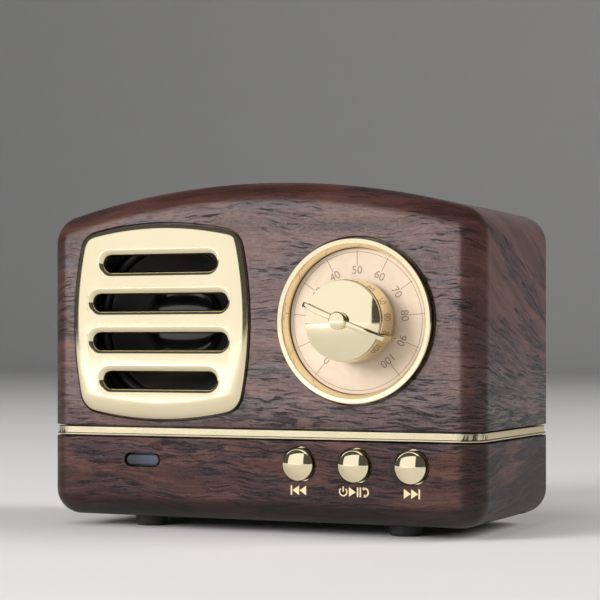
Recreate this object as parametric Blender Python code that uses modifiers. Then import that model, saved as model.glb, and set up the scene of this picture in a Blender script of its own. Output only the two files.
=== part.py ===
"""Palm-sized wireless speaker styled as an old table radio.

Metres, +Z up. The front faces -Y and +X is to the right seen from the front. The origin lies under
the middle of the object's box, on the surface that its feet stand on.
"""

import math

import bmesh
import bpy
from mathutils import Matrix, Vector

MM = 0.001

# Cabinet
BODY_WIDTH = 88.5 * MM
BODY_DEPTH = 44.0 * MM
BODY_HEIGHT = 63.3 * MM  # underside to crown
CROWN_RADIUS = 152.3 * MM
TOP_CORNER = 5.5 * MM
BOTTOM_CORNER = 5.0 * MM
EDGE_ROUND = 4.8 * MM
UPPER_WALL = 2.2 * MM
LOWER_WALL = 1.6 * MM
GAP = 0.3 * MM  # left between pieces that touch
BAND_LOW = 15.6 * MM  # above the underside
BAND_HIGH = 17.2 * MM
BAND_STEP = 0.35 * MM  # the band's lower lip stands this far out and is this high
LIP_OUT = 1.9 * MM  # locating lip of the upper cabinet, from the outer surface inwards
LIP_IN = 3.1 * MM
LIP_REACH = 1.9 * MM  # below the upper cabinet's edge, past the band into the tray
CORNER_STEPS = 5
CROWN_STEPS = 12

# Feet and case screws
FOOT_HEIGHT = 2.2 * MM
FOOT_RADIUS = 3.1 * MM
FOOT_X = 26.5 * MM
FOOT_INSET = 9.5 * MM  # from the front and rear faces
SCREW_X = 39.0 * MM
SCREW_INSET = 11.0 * MM
POST_RADIUS = 2.6 * MM
BOSS_RADIUS = 3.2 * MM

# Grille and driver
GRILLE_X = -19.5 * MM
GRILLE_RISE = 37.3 * MM  # centre above the underside
GRILLE_SIZE = 37.0 * MM
GRILLE_BULGE_RADIUS = 68.0 * MM
GRILLE_CORNER = 4.0 * MM
GRILLE_PROUD = 1.2 * MM
GRILLE_SEAT = 0.9 * MM  # depth of the recess it lies in
SLOT_PITCH = 7.4 * MM
SLOT_HEIGHT = 3.0 * MM
SLOT_LENGTHS = (23.9 * MM, 28.5 * MM, 28.5 * MM, 23.9 * MM)
SLOT_FLARE = 1.3 * MM
SOUND_HOLE_RADIUS = 17.3 * MM
DRIVER_DEPTH = 5.3 * MM  # front of the driver's flange behind the front face
DRIVER_FLANGE = 37.6 * MM
DRIVER_SCREW_PITCH = 16.8 * MM

# Dial and knob
DIAL_X = 20.45 * MM
DIAL_RISE = 37.25 * MM
RING_RADIUS = 15.05 * MM
RING_FRONT_INNER = 13.95 * MM
RING_INNER = 13.4 * MM
RING_PROUD = 1.6 * MM
RING_SEAT = 1.0 * MM
PLATE_SEAT = 1.5 * MM  # the scale plate lies deeper than the ring
PLATE_DEPTH = 0.75 * MM  # front of the plate behind the front face
KNOB_RADIUS = 7.4 * MM
KNOB_BASE_RADIUS = 7.6 * MM
KNOB_RIM = 6.4 * MM  # in front of the front face
KNOB_REACH = 9.1 * MM
POINTER_ANGLE = 112.0  # degrees clockwise from the top, seen from the front
POINTER_WIDTH = 1.0 * MM
BUSHING_RADIUS = 3.0 * MM
NUT_HEIGHT = 1.6 * MM
SHAFT_RADIUS = 1.5 * MM

# Buttons, their board and the indicator
BUTTONS = {"previous": 9.2 * MM, "play": 20.22 * MM, "next": 31.24 * MM}
BUTTON_RISE = 11.0 * MM
BUTTON_HOLE_RADIUS = 3.3 * MM
BUTTON_RADIUS = 3.0 * MM
BUTTON_TRAVEL = 0.5 * MM
WINDOW_X = -23.5 * MM
WINDOW_RISE = 11.05 * MM
WINDOW_SIZE = (7.1 * MM, 2.1 * MM)
BOARD_DEPTH = 8.9 * MM  # front of the button board behind the front face
BOARD_THICK = 1.2 * MM

# Main board and the sockets on its rear edge
MAIN_BOARD_Z = 7.0 * MM
MAIN_BOARD_HALF = 34.0 * MM
MAIN_BOARD_FRONT = 12.5 * MM
USB_X = -12.0 * MM
JACK_X = 0.0 * MM
CARD_X = 13.0 * MM
MICROPHONE_X = -24.0 * MM

# Derived places
FRONT_Y = -(BODY_DEPTH - KNOB_REACH) / 2
REAR_Y = FRONT_Y + BODY_DEPTH
UNDER_Z = FOOT_HEIGHT
GRILLE_Z = UNDER_Z + GRILLE_RISE
DIAL_Z = UNDER_Z + DIAL_RISE
BUTTON_Z = UNDER_Z + BUTTON_RISE
WINDOW_Z = UNDER_Z + WINDOW_RISE
BAND_BOTTOM_Z = UNDER_Z + BAND_LOW
BAND_TOP_Z = UNDER_Z + BAND_HIGH
TRAY_TOP_Z = BAND_BOTTOM_Z - GAP
UPPER_EDGE_Z = BAND_TOP_Z + GAP
PARTS_Z = MAIN_BOARD_Z + BOARD_THICK + GAP  # underside of what stands on the main board
FAR = 100.0 * MM  # past every face, for cutters
FACING = (math.radians(90), 0.0, 0.0)  # turns a round piece's +Z to the front

# Colour, roughness and metallic value of each finish
FINISHES = {
    "wood_film": ((0.16, 0.075, 0.06), 0.42, 0.0),
    "gilt": ((0.86, 0.68, 0.36), 0.16, 1.0),
    "dial_print": ((0.78, 0.60, 0.46), 0.45, 0.0),
    "black_plastic": ((0.02, 0.02, 0.022), 0.4, 0.0),
    "smoked_lens": ((0.10, 0.12, 0.17), 0.12, 0.0),
    "rubber": ((0.025, 0.025, 0.025), 0.7, 0.0),
    "foam": ((0.05, 0.05, 0.05), 0.95, 0.0),
    "steel": ((0.55, 0.56, 0.58), 0.32, 1.0),
    "ferrite": ((0.07, 0.07, 0.075), 0.6, 0.0),
    "paper": ((0.035, 0.035, 0.035), 0.75, 0.0),
    "copper": ((0.72, 0.38, 0.22), 0.3, 1.0),
    "circuit_board": ((0.02, 0.16, 0.07), 0.4, 0.0),
    "battery_foil": ((0.62, 0.63, 0.65), 0.35, 0.8),
    "red_lead": ((0.45, 0.03, 0.02), 0.45, 0.0),
    "black_lead": ((0.02, 0.02, 0.02), 0.45, 0.0),
    "white_led": ((0.85, 0.86, 0.80), 0.3, 0.0),
}


def new_collection(name):
    """Collection linked to the scene."""
    made = bpy.data.collections.new(name)
    bpy.context.scene.collection.children.link(made)
    return made


for old in list(bpy.data.objects):
    bpy.data.objects.remove(old, do_unlink=True)
PARTS = new_collection("wireless_speaker")
CUTTERS = new_collection("cutters")


def finish_material(name, finish):
    """A part's own material in one of the finishes."""
    colour, roughness, metallic = FINISHES[finish]
    made = bpy.data.materials.new(name)
    made.use_nodes = True
    shader = made.node_tree.nodes["Principled BSDF"]
    shader.inputs["Base Color"].default_value = (*colour, 1.0)
    shader.inputs["Roughness"].default_value = roughness
    shader.inputs["Metallic"].default_value = metallic
    return made


def add_part(name, mesh, finish, location=(0, 0, 0), rotation=(0, 0, 0), parent=None):
    """One sub-part in its own material."""
    made = bpy.data.objects.new(name, mesh)
    mesh.materials.append(finish_material(name, finish))
    made.location = location
    made.rotation_euler = rotation
    made.parent = parent
    PARTS.objects.link(made)
    return made


def add_tool(target, operation, mesh, location=(0, 0, 0), rotation=(0, 0, 0), steps=0):
    """Cuts a mesh from a part or joins it on. Steps turns the mesh, a profile, round its Z axis first."""
    tool = bpy.data.objects.new(f"{target.name}_{operation.lower()}", mesh)
    tool.location = location
    tool.rotation_euler = rotation
    tool.parent = target.parent
    tool.hide_render = True
    tool.display_type = "WIRE"
    CUTTERS.objects.link(tool)
    if steps:
        add_screw(tool, steps)
    boolean = target.modifiers.new(operation.title(), "BOOLEAN")
    boolean.operation = operation
    boolean.solver = "EXACT"
    boolean.object = tool


def cut(target, mesh, **place):
    """Takes a mesh out of a part."""
    add_tool(target, "DIFFERENCE", mesh, **place)


def join(target, mesh, **place):
    """Makes a mesh one with a part."""
    add_tool(target, "UNION", mesh, **place)


def arc(centre, radius, start, end, steps):
    """Points round an arc, its angles in degrees anticlockwise from the first axis."""
    turns = [math.radians(start + (end - start) * i / steps) for i in range(steps + 1)]
    return [(centre[0] + radius * math.cos(t), centre[1] + radius * math.sin(t)) for t in turns]


def cabinet_outline(inset):
    """Front view of the cabinet, its whole outline moved in by inset."""
    half = BODY_WIDTH / 2 - inset
    crown = CROWN_RADIUS - inset
    top = TOP_CORNER - inset
    bottom = BOTTOM_CORNER - inset
    crown_z = UNDER_Z + BODY_HEIGHT - CROWN_RADIUS
    top_x = half - top
    rise = math.sqrt((crown - top) ** 2 - top_x**2)
    lean = math.degrees(math.atan2(rise, top_x))
    right = arc((half - bottom, UNDER_Z + BOTTOM_CORNER), bottom, -90, 0, CORNER_STEPS)
    right += arc((top_x, crown_z + rise), top, 0, lean, CORNER_STEPS)
    over = arc((0, crown_z), crown, lean, 180 - lean, CROWN_STEPS)[1:-1]
    return right + over + [(-x, z) for x, z in reversed(right)]


def rounded_rectangle(width, height, radius, centre=(0, 0), steps=CORNER_STEPS):
    """Rectangle with round corners."""
    points = []
    for quarter, (u, v) in enumerate(((1, 1), (-1, 1), (-1, -1), (1, -1))):
        corner = (centre[0] + u * (width / 2 - radius), centre[1] + v * (height / 2 - radius))
        points += arc(corner, radius, 90 * quarter, 90 * quarter + 90, steps)
    return points


def plan_outline(inset):
    """The cabinet seen from above at its straight sides, moved in by inset."""
    middle = (FRONT_Y + REAR_Y) / 2
    return rounded_rectangle(
        BODY_WIDTH - 2 * inset, BODY_DEPTH - 2 * inset, EDGE_ROUND - inset, (0, middle)
    )


def bulged_square(inset, centre):
    """The grille's outline, a square with bulging sides and round corners, moved in by inset."""
    half = GRILLE_SIZE / 2 - inset
    side = GRILLE_BULGE_RADIUS - inset
    corner = GRILLE_CORNER - inset
    back = side - half
    place = (math.sqrt(2 * (side - corner) ** 2 - back**2) - back) / 2
    lean = math.degrees(math.atan2(place, place + back))
    points = []
    for quarter in range(4):
        turn = 90 * quarter
        across = (math.cos(math.radians(turn)), math.sin(math.radians(turn)))
        along = (-across[1], across[0])
        middle = (centre[0] - back * across[0], centre[1] - back * across[1])
        tip = (
            centre[0] + place * (across[0] + along[0]),
            centre[1] + place * (across[1] + along[1]),
        )
        points += arc(middle, side, turn - lean, turn + lean, 6)
        points += arc(tip, corner, turn + lean, turn + 90 - lean, 4)[1:-1]
    return points


def obround(length, height, centre=(0, 0), steps=8):
    """Slot outline with half-round ends."""
    reach = length / 2 - height / 2
    right = arc((centre[0] + reach, centre[1]), height / 2, -90, 90, steps)
    return right + arc((centre[0] - reach, centre[1]), height / 2, 90, 270, steps)


def circle(radius, centre=(0, 0), steps=32):
    """Round outline."""
    return arc(centre, radius, 0, 360, steps)[:-1]


def prism(loops, low, high, flat=False):
    """Solid between two planes. Its outlines lie in X and Z with its thickness along Y, or flat in X and Y.

    The outlines after the first are holes. The curve is drawn in millimetres, where its fill is exact.
    """
    curve = bpy.data.curves.new("outline", "CURVE")
    curve.dimensions = "2D"
    curve.fill_mode = "BOTH"
    curve.extrude = (high - low) / 2 / MM
    for loop in loops:
        spline = curve.splines.new("POLY")
        spline.points.add(len(loop) - 1)
        for point, (u, v) in zip(spline.points, loop):
            point.co = (u / MM, v / MM, 0, 1)
        spline.use_cyclic_u = True
    holder = bpy.data.objects.new("outline", curve)
    PARTS.objects.link(holder)
    evaluated = holder.evaluated_get(bpy.context.evaluated_depsgraph_get())
    mesh = bpy.data.meshes.new_from_object(evaluated)
    mesh.materials.clear()
    bpy.data.objects.remove(holder)
    bpy.data.curves.remove(curve)
    middle = (low + high) / 2
    if flat:
        place = Matrix.Translation((0, 0, middle))
    else:
        place = Matrix.Translation((0, middle, 0)) @ Matrix.Rotation(math.radians(90), 4, "X")
    mesh.transform(place @ Matrix.Scale(MM, 4))
    work = bmesh.new()
    work.from_mesh(mesh)
    bmesh.ops.remove_doubles(work, verts=work.verts, dist=0.001 * MM)
    bmesh.ops.recalc_face_normals(work, faces=work.faces)
    work.to_mesh(mesh)
    work.free()
    return mesh


def round_rim(mesh, planes, width, segments):
    """Rounds the outline's edges in the planes at these Y values."""
    work = bmesh.new()
    work.from_mesh(mesh)
    flat_edges = [e for e in work.edges if e.calc_face_angle() < math.radians(0.5)]
    bmesh.ops.dissolve_edges(work, edges=flat_edges, use_verts=False)
    rim = [
        e
        for e in work.edges
        if any(all(abs(v.co.y - plane) < 0.01 * MM for v in e.verts) for plane in planes)
    ]
    bmesh.ops.bevel(
        work, geom=rim, offset=width, segments=segments, profile=0.5, affect="EDGES", material=-1
    )
    work.to_mesh(mesh)
    work.free()
    return mesh


def box(low, high):
    """Box between two corners."""
    work = bmesh.new()
    bmesh.ops.create_cube(work, size=1)
    size = [b - a for a, b in zip(low, high)]
    middle = [(a + b) / 2 for a, b in zip(low, high)]
    bmesh.ops.scale(work, vec=size, verts=work.verts)
    bmesh.ops.translate(work, vec=middle, verts=work.verts)
    mesh = bpy.data.meshes.new("box")
    work.to_mesh(mesh)
    work.free()
    return mesh


def cylinder(radius, low, high, centre=(0, 0), steps=20, along="Z", tip_radius=None):
    """Closed cylinder or cone along Z or Y; centre gives its other two coordinates."""
    work = bmesh.new()
    bmesh.ops.create_cone(
        work,
        cap_ends=True,
        segments=steps,
        radius1=radius,
        radius2=radius if tip_radius is None else tip_radius,
        depth=high - low,
    )
    middle = (low + high) / 2
    if along == "Y":
        bmesh.ops.rotate(work, matrix=Matrix.Rotation(math.radians(-90), 3, "X"), verts=work.verts)
        bmesh.ops.translate(work, vec=(centre[0], middle, centre[1]), verts=work.verts)
    else:
        bmesh.ops.translate(work, vec=(centre[0], centre[1], middle), verts=work.verts)
    mesh = bpy.data.meshes.new("cylinder")
    work.to_mesh(mesh)
    work.free()
    return mesh


def profile_mesh(points, ring):
    """Edges of a turned profile given as radius and height; a ring's profile closes on itself."""
    area = sum(
        a[0] * b[1] - b[0] * a[1] for a, b in zip(points, points[1:] + points[:1])
    )
    ordered = list(reversed(points)) if area > 0 else list(points)
    edges = [(i, i + 1) for i in range(len(ordered) - 1)]
    if ring:
        edges.append((len(ordered) - 1, 0))
    mesh = bpy.data.meshes.new("profile")
    mesh.from_pydata([(r, 0, z) for r, z in ordered], edges, [])
    return mesh


def add_screw(target, steps):
    """Turns a profile round the object's Z axis."""
    screw = target.modifiers.new("Turn", "SCREW")
    screw.steps = steps
    screw.render_steps = steps
    screw.use_merge_vertices = True
    screw.merge_threshold = 0.005 * MM
    screw.use_smooth_shade = True
    target.modifiers.move(len(target.modifiers) - 1, 0)


def turned_part(name, points, finish, ring=True, steps=32, **place):
    """A turned sub-part. Points are radius and height, the height growing towards the front."""
    made = add_part(name, profile_mesh(points, ring), finish, **place)
    add_screw(made, steps)
    return made


def smooth_route(points, steps):
    """A smooth line through a route's points."""
    ends = [points[0]] + list(points) + [points[-1]]
    line = []
    for a, b, c, d in zip(ends, ends[1:], ends[2:], ends[3:]):
        a, b, c, d = Vector(a), Vector(b), Vector(c), Vector(d)
        for i in range(steps):
            t = i / steps
            bend = (2 * a - 5 * b + 4 * c - d) * t**2 + (3 * b - a - 3 * c + d) * t**3
            line.append(0.5 * (2 * b + (c - a) * t + bend))
    return line + [Vector(points[-1])]


def add_lead(name, points, radius, finish):
    """A thin lead along a smooth route."""
    curve = bpy.data.curves.new(name, "CURVE")
    curve.dimensions = "3D"
    curve.bevel_depth = radius
    curve.bevel_resolution = 2
    curve.use_fill_caps = True
    line = smooth_route(points, 3)
    spline = curve.splines.new("POLY")
    spline.points.add(len(line) - 1)
    for point, place in zip(spline.points, line):
        point.co = (*place, 1)
    curve.materials.append(finish_material(name, finish))
    PARTS.objects.link(bpy.data.objects.new(name, curve))


def cabinet_blank(low_z, high_z, wall):
    """The cabinet's shape between two heights, hollowed to a wall."""
    outer = prism([cabinet_outline(0)], FRONT_Y, REAR_Y)
    round_rim(outer, (FRONT_Y, REAR_Y), EDGE_ROUND, 5)
    blank = bpy.data.objects.new("blank", outer)
    PARTS.objects.link(blank)
    cut(blank, box((-FAR, -FAR, high_z), (FAR, FAR, FAR + high_z)))
    cut(blank, box((-FAR, -FAR, low_z - FAR), (FAR, FAR, low_z)))
    hollow = prism([cabinet_outline(wall)], FRONT_Y + wall, REAR_Y - wall)
    cut(blank, round_rim(hollow, (FRONT_Y + wall, REAR_Y - wall), EDGE_ROUND - wall, 5))
    evaluated = blank.evaluated_get(bpy.context.evaluated_depsgraph_get())
    mesh = bpy.data.meshes.new_from_object(evaluated)
    bpy.data.objects.remove(blank)
    return mesh


def screw_places():
    """Centre of each case screw, by name."""
    return {
        f"{end}_{side}": (sign * SCREW_X, y)
        for end, y in (("front", FRONT_Y + SCREW_INSET), ("rear", REAR_Y - SCREW_INSET))
        for side, sign in (("left", -1), ("right", 1))
    }


def foot_places():
    """Centre of each foot, by name."""
    return {
        f"{end}_{side}": (sign * FOOT_X, y)
        for end, y in (("front", FRONT_Y + FOOT_INSET), ("rear", REAR_Y - FOOT_INSET))
        for side, sign in (("left", -1), ("right", 1))
    }


def driver_screw_places():
    """Centre of each driver screw in X and Z."""
    return [
        (GRILLE_X + u * DRIVER_SCREW_PITCH, GRILLE_Z + v * DRIVER_SCREW_PITCH)
        for u in (-1, 1)
        for v in (-1, 1)
    ]


def make_upper_cabinet():
    """Upper shell: grille and dial recesses, screw posts, driver bosses and the locating lip."""
    shell = add_part(
        "upper_cabinet", cabinet_blank(UPPER_EDGE_Z, FAR, UPPER_WALL), "wood_film"
    )
    lip_low = UPPER_EDGE_Z - BAND_HIGH + BAND_LOW - LIP_REACH
    lip = [plan_outline(LIP_OUT), plan_outline(LIP_IN)]
    join(shell, prism(lip, lip_low, UPPER_EDGE_Z + 0.7 * MM, flat=True))
    post_low = UNDER_Z + 6.1 * MM
    for x, y in screw_places().values():
        side = math.copysign(1, x)
        join(shell, cylinder(POST_RADIUS, post_low, 27.0 * MM, (x, y)))
        inner, outer = sorted((x, side * (BODY_WIDTH / 2 - 1.2 * MM)))
        web = 0.6 * MM
        join(shell, box((inner, y - web, UPPER_EDGE_Z + 0.2 * MM), (outer, y + web, 26.0 * MM)))
        cut(shell, cylinder(1.2 * MM, post_low - 1 * MM, 20.0 * MM, (x, y), steps=12))
    boss_front = FRONT_Y + UPPER_WALL - 0.5 * MM
    boss_rear = FRONT_Y + DRIVER_DEPTH - GAP
    for place in driver_screw_places():
        join(shell, cylinder(2.0 * MM, boss_front, boss_rear, place, along="Y", steps=16))
        cut(shell, cylinder(1.1 * MM, boss_front, boss_rear + MM, place, along="Y", steps=12))
    seat = [bulged_square(-0.4 * MM, (GRILLE_X, GRILLE_Z))]
    cut(shell, prism(seat, FRONT_Y - MM, FRONT_Y + GRILLE_SEAT))
    hole = (GRILLE_X, GRILLE_Z)
    cut(shell, cylinder(SOUND_HOLE_RADIUS, FRONT_Y, FRONT_Y + 3 * MM, hole, 48, "Y"))
    dial = (DIAL_X, DIAL_Z)
    seat_radius = RING_RADIUS + 0.35 * MM
    cut(shell, cylinder(seat_radius, FRONT_Y - MM, FRONT_Y + RING_SEAT, dial, 48, "Y"))
    cut(shell, cylinder(RING_INNER, FRONT_Y, FRONT_Y + PLATE_SEAT, dial, 48, "Y"))
    cut(shell, cylinder(BUSHING_RADIUS + GAP, FRONT_Y, FRONT_Y + 3 * MM, dial, 24, "Y"))
    clear = BUTTON_HOLE_RADIUS + 1.2 * MM
    first, last = BUTTONS["previous"] - clear, BUTTONS["next"] + clear
    notch_top = BUTTON_Z + clear
    cut(shell, box((first, FRONT_Y, 0), (last, FRONT_Y + 4 * MM, notch_top)))


def make_lower_cabinet():
    """Lower tray: button and window holes, rear ports, foot recesses, bosses and board supports."""
    tray = add_part("lower_cabinet", cabinet_blank(0, TRAY_TOP_Z, LOWER_WALL), "wood_film")
    floor_z = UNDER_Z + LOWER_WALL
    boss_top = UNDER_Z + 5.8 * MM
    for x, y in screw_places().values():
        join(tray, cylinder(BOSS_RADIUS, floor_z - MM, boss_top, (x, y)))
        cut(tray, cylinder(2.4 * MM, 0, boss_top - 2 * MM, (x, y)))
        cut(tray, cylinder(1.3 * MM, 0, boss_top + MM, (x, y), steps=12))
    for x, y in foot_places().values():
        cut(tray, cylinder(FOOT_RADIUS + 0.4 * MM, 0, UNDER_Z + 0.6 * MM, (x, y), steps=24))
    for x in (-30 * MM, 30 * MM):
        for y in (FRONT_Y + 16.5 * MM, REAR_Y - 13 * MM):
            join(tray, cylinder(1.6 * MM, floor_z - 0.5 * MM, MAIN_BOARD_Z - GAP, (x, y), steps=12))
    rib_front = FRONT_Y + BOARD_DEPTH + BOARD_THICK + GAP
    for x in (-28 * MM, 3 * MM, 33 * MM):
        rib = ((x - MM, rib_front, floor_z - 0.5 * MM), (x + MM, rib_front + 1.5 * MM, UNDER_Z + 6 * MM))
        join(tray, box(*rib))
    for x in BUTTONS.values():
        hole = cylinder(BUTTON_HOLE_RADIUS, FRONT_Y - MM, FRONT_Y + 3 * MM, (x, BUTTON_Z), 32, "Y")
        cut(tray, hole)
    window = [size + 2 * GAP for size in WINDOW_SIZE]
    window_hole = [obround(*window, (WINDOW_X, WINDOW_Z))]
    cut(tray, prism(window_hole, FRONT_Y - MM, FRONT_Y + 3 * MM))
    rear_ports = (
        rounded_rectangle(8.6 * MM, 3.8 * MM, 1.0 * MM, (USB_X, PARTS_Z + 1.4 * MM), 3),
        circle(3.1 * MM, (JACK_X, PARTS_Z + 3.0 * MM), 24),
        rounded_rectangle(12.8 * MM, 1.8 * MM, 0.4 * MM, (CARD_X, PARTS_Z + 0.9 * MM), 2),
        circle(0.6 * MM, (MICROPHONE_X, PARTS_Z + 2.4 * MM), 12),
    )
    for port in rear_ports:
        cut(tray, prism([port], REAR_Y - 3 * MM, REAR_Y + MM))


def make_trim_band():
    """Gilt band between the two shells, with a thin lip standing out along its lower edge."""
    strip = [plan_outline(BAND_STEP), plan_outline(LOWER_WALL)]
    lip = [plan_outline(0.05 * MM), plan_outline(1.2 * MM)]
    step_z = BAND_BOTTOM_Z + BAND_STEP
    band = add_part(
        "trim_band", prism(strip, step_z - 0.15 * MM, BAND_TOP_Z, flat=True), "gilt"
    )
    join(band, prism(lip, BAND_BOTTOM_Z, step_z, flat=True))


def make_feet_and_case_screws():
    """Four stick-on feet, and four screws driven up through the tray into the upper shell's posts."""
    foot = [
        (0, 2.5 * MM),
        (FOOT_RADIUS - 0.4 * MM, 2.5 * MM),
        (FOOT_RADIUS, 2.1 * MM),
        (FOOT_RADIUS, 0.6 * MM),
        (FOOT_RADIUS - 0.5 * MM, 0),
        (0, 0),
    ]
    for name, (x, y) in foot_places().items():
        turned_part(f"foot_{name}", foot, "rubber", ring=False, steps=24, location=(x, y, 0))
    seat = UNDER_Z + 3.5 * MM
    screw = [
        (0, seat + 10.5 * MM),
        (0.9 * MM, seat + 10.0 * MM),
        (0.9 * MM, seat),
        (2.0 * MM, seat),
        (2.0 * MM, seat - 1.0 * MM),
        (1.3 * MM, seat - 1.5 * MM),
        (0, seat - 1.5 * MM),
    ]
    for name, (x, y) in screw_places().items():
        turned_part(
            f"case_screw_{name}", screw, "steel", ring=False, steps=12, location=(x, y, 0)
        )


def slot_cutter(length, z):
    """Cutter for one grille slot: straight at the back and flared towards the front."""
    small = obround(length, SLOT_HEIGHT, (GRILLE_X, z))
    wide = obround(length + 2 * SLOT_FLARE, SLOT_HEIGHT + 2 * SLOT_FLARE, (GRILLE_X, z))
    front = FRONT_Y - GRILLE_PROUD - 0.1 * MM
    throat = FRONT_Y + 0.1 * MM
    back = FRONT_Y + 2 * MM
    work = bmesh.new()
    mouth = work.faces.new([work.verts.new((x, front, v)) for x, v in wide])
    for depth in (throat, back):
        mouth = bmesh.ops.extrude_discrete_faces(work, faces=[mouth])["faces"][0]
        for vert, (x, v) in zip(mouth.verts, small):
            vert.co = (x, depth, v)
    front_loop = [e for e in work.edges if e.is_boundary]
    bmesh.ops.holes_fill(work, edges=front_loop)
    bmesh.ops.recalc_face_normals(work, faces=work.faces)
    mesh = bpy.data.meshes.new("slot")
    work.to_mesh(mesh)
    work.free()
    return mesh


def make_grille():
    """Gilt grille plate lying in its recess."""
    front = FRONT_Y - GRILLE_PROUD
    back = FRONT_Y + GRILLE_SEAT - GAP
    plate = prism([bulged_square(0, (GRILLE_X, GRILLE_Z))], front, back)
    round_rim(plate, (front,), 1.0 * MM, 3)
    grille = add_part("grille_plate", plate, "gilt")
    for row, length in enumerate(SLOT_LENGTHS):
        cut(grille, slot_cutter(length, GRILLE_Z + (1.5 - row) * SLOT_PITCH))


def make_driver():
    """Small moving-coil driver behind the grille. Heights are ahead of its flange, so below 0."""
    place = {
        "location": (GRILLE_X, FRONT_Y + DRIVER_DEPTH, GRILLE_Z),
        "rotation": FACING,
    }
    gasket_front = DRIVER_DEPTH - UPPER_WALL - GAP
    gasket = [
        (18.8 * MM, gasket_front),
        (18.8 * MM, GAP),
        (17.6 * MM, GAP),
        (17.6 * MM, gasket_front),
    ]
    turned_part("speaker_gasket", gasket, "foam", **place)
    cage = [
        (19.6 * MM, -0.2 * MM),
        (19.6 * MM, -0.8 * MM),
        (17.5 * MM, -1.0 * MM),
        (12.4 * MM, -9.0 * MM),
        (12.4 * MM, -10.2 * MM),
        (7.4 * MM, -10.2 * MM),
        (7.4 * MM, -9.2 * MM),
        (11.6 * MM, -9.2 * MM),
        (16.7 * MM, -1.0 * MM),
        (16.7 * MM, -0.2 * MM),
    ]
    basket = turned_part("speaker_basket", cage, "steel", **place)
    flange = prism(
        [
            rounded_rectangle(DRIVER_FLANGE, DRIVER_FLANGE, 4 * MM, steps=3),
            circle(16.9 * MM),
        ],
        -1.0 * MM,
        0,
        flat=True,
    )
    join(basket, flange, **place)
    for axis in range(2):
        reach = [20 * MM, 4.5 * MM] if axis == 0 else [4.5 * MM, 20 * MM]
        window = box((-reach[0], -reach[1], -8.0 * MM), (reach[0], reach[1], -2.0 * MM))
        cut(basket, window, **place)
    for x in (-DRIVER_SCREW_PITCH, DRIVER_SCREW_PITCH):
        for y in (-DRIVER_SCREW_PITCH, DRIVER_SCREW_PITCH):
            cut(basket, cylinder(1.1 * MM, -2 * MM, MM, (x, y), steps=12), **place)
    rings = {
        "magnet_top_plate": ("steel", 11.0 * MM, 6.9 * MM, -10.5 * MM, -12.5 * MM),
        "speaker_magnet": ("ferrite", 12.5 * MM, 7.4 * MM, -12.8 * MM, -16.4 * MM),
    }
    for name, (finish, outer, inner, front, back) in rings.items():
        ring = [(outer, front), (outer, back), (inner, back), (inner, front)]
        turned_part(name, ring, finish, **place)
    yoke = [
        (0, -10.6 * MM),
        (5.3 * MM, -10.6 * MM),
        (5.3 * MM, -16.7 * MM),
        (11.5 * MM, -16.7 * MM),
        (11.5 * MM, -18.5 * MM),
        (0, -18.5 * MM),
    ]
    turned_part("magnet_yoke", yoke, "steel", ring=False, **place)
    coil = [
        (6.3 * MM, -8.0 * MM),
        (6.3 * MM, -13.6 * MM),
        (5.7 * MM, -13.6 * MM),
        (5.7 * MM, -8.0 * MM),
    ]
    turned_part("voice_coil", coil, "copper", **place)
    cone = [
        (14.2 * MM, -0.6 * MM),
        (14.2 * MM, -1.2 * MM),
        (6.6 * MM, -7.6 * MM),
        (5.9 * MM, -7.0 * MM),
        (13.6 * MM, -0.6 * MM),
    ]
    turned_part("speaker_cone", cone, "paper", **place)
    cap_rim = 8.2 * MM
    cap_rise = 2.4 * MM
    cap_seat = -4.3 * MM
    turns = [math.radians(15 * i) for i in range(7)]
    dome = [(cap_rim * math.sin(t), cap_seat + cap_rise * math.cos(t)) for t in turns]
    under = [(r * 0.93, z - 0.5 * MM) for r, z in reversed(dome[:-1])]
    turned_part("dust_cap", dome + under, "paper", ring=False, steps=24, **place)
    roll = arc((15.3 * MM, -0.3 * MM), 0.95 * MM, 180, 0, 5)
    roll_under = arc((15.3 * MM, -0.3 * MM), 0.6 * MM, 0, 180, 5)
    turned_part("surround", roll + roll_under, "rubber", **place)
    points = 12
    wave = [
        ((6.9 + 4.1 * i / points) * MM, (-7.9 + 0.35 * math.cos(i * math.pi / 2)) * MM)
        for i in range(points + 1)
    ]
    wave_under = [(r, z - 0.35 * MM) for r, z in reversed(wave)]
    turned_part("spider", wave + wave_under, "paper", steps=20, **place)
    head_rear = -1.0 * MM - GAP
    screw = [
        (0, head_rear - 1.1 * MM),
        (1.2 * MM, head_rear - 1.1 * MM),
        (1.7 * MM, head_rear - 0.6 * MM),
        (1.7 * MM, head_rear),
        (0.8 * MM, head_rear),
        (0.8 * MM, 3.0 * MM),
        (0, 3.3 * MM),
    ]
    for number, (x, z) in enumerate(driver_screw_places(), 1):
        turned_part(
            f"speaker_screw_{number}",
            screw,
            "steel",
            ring=False,
            steps=12,
            location=(x, FRONT_Y + DRIVER_DEPTH, z),
            rotation=FACING,
        )


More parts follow.
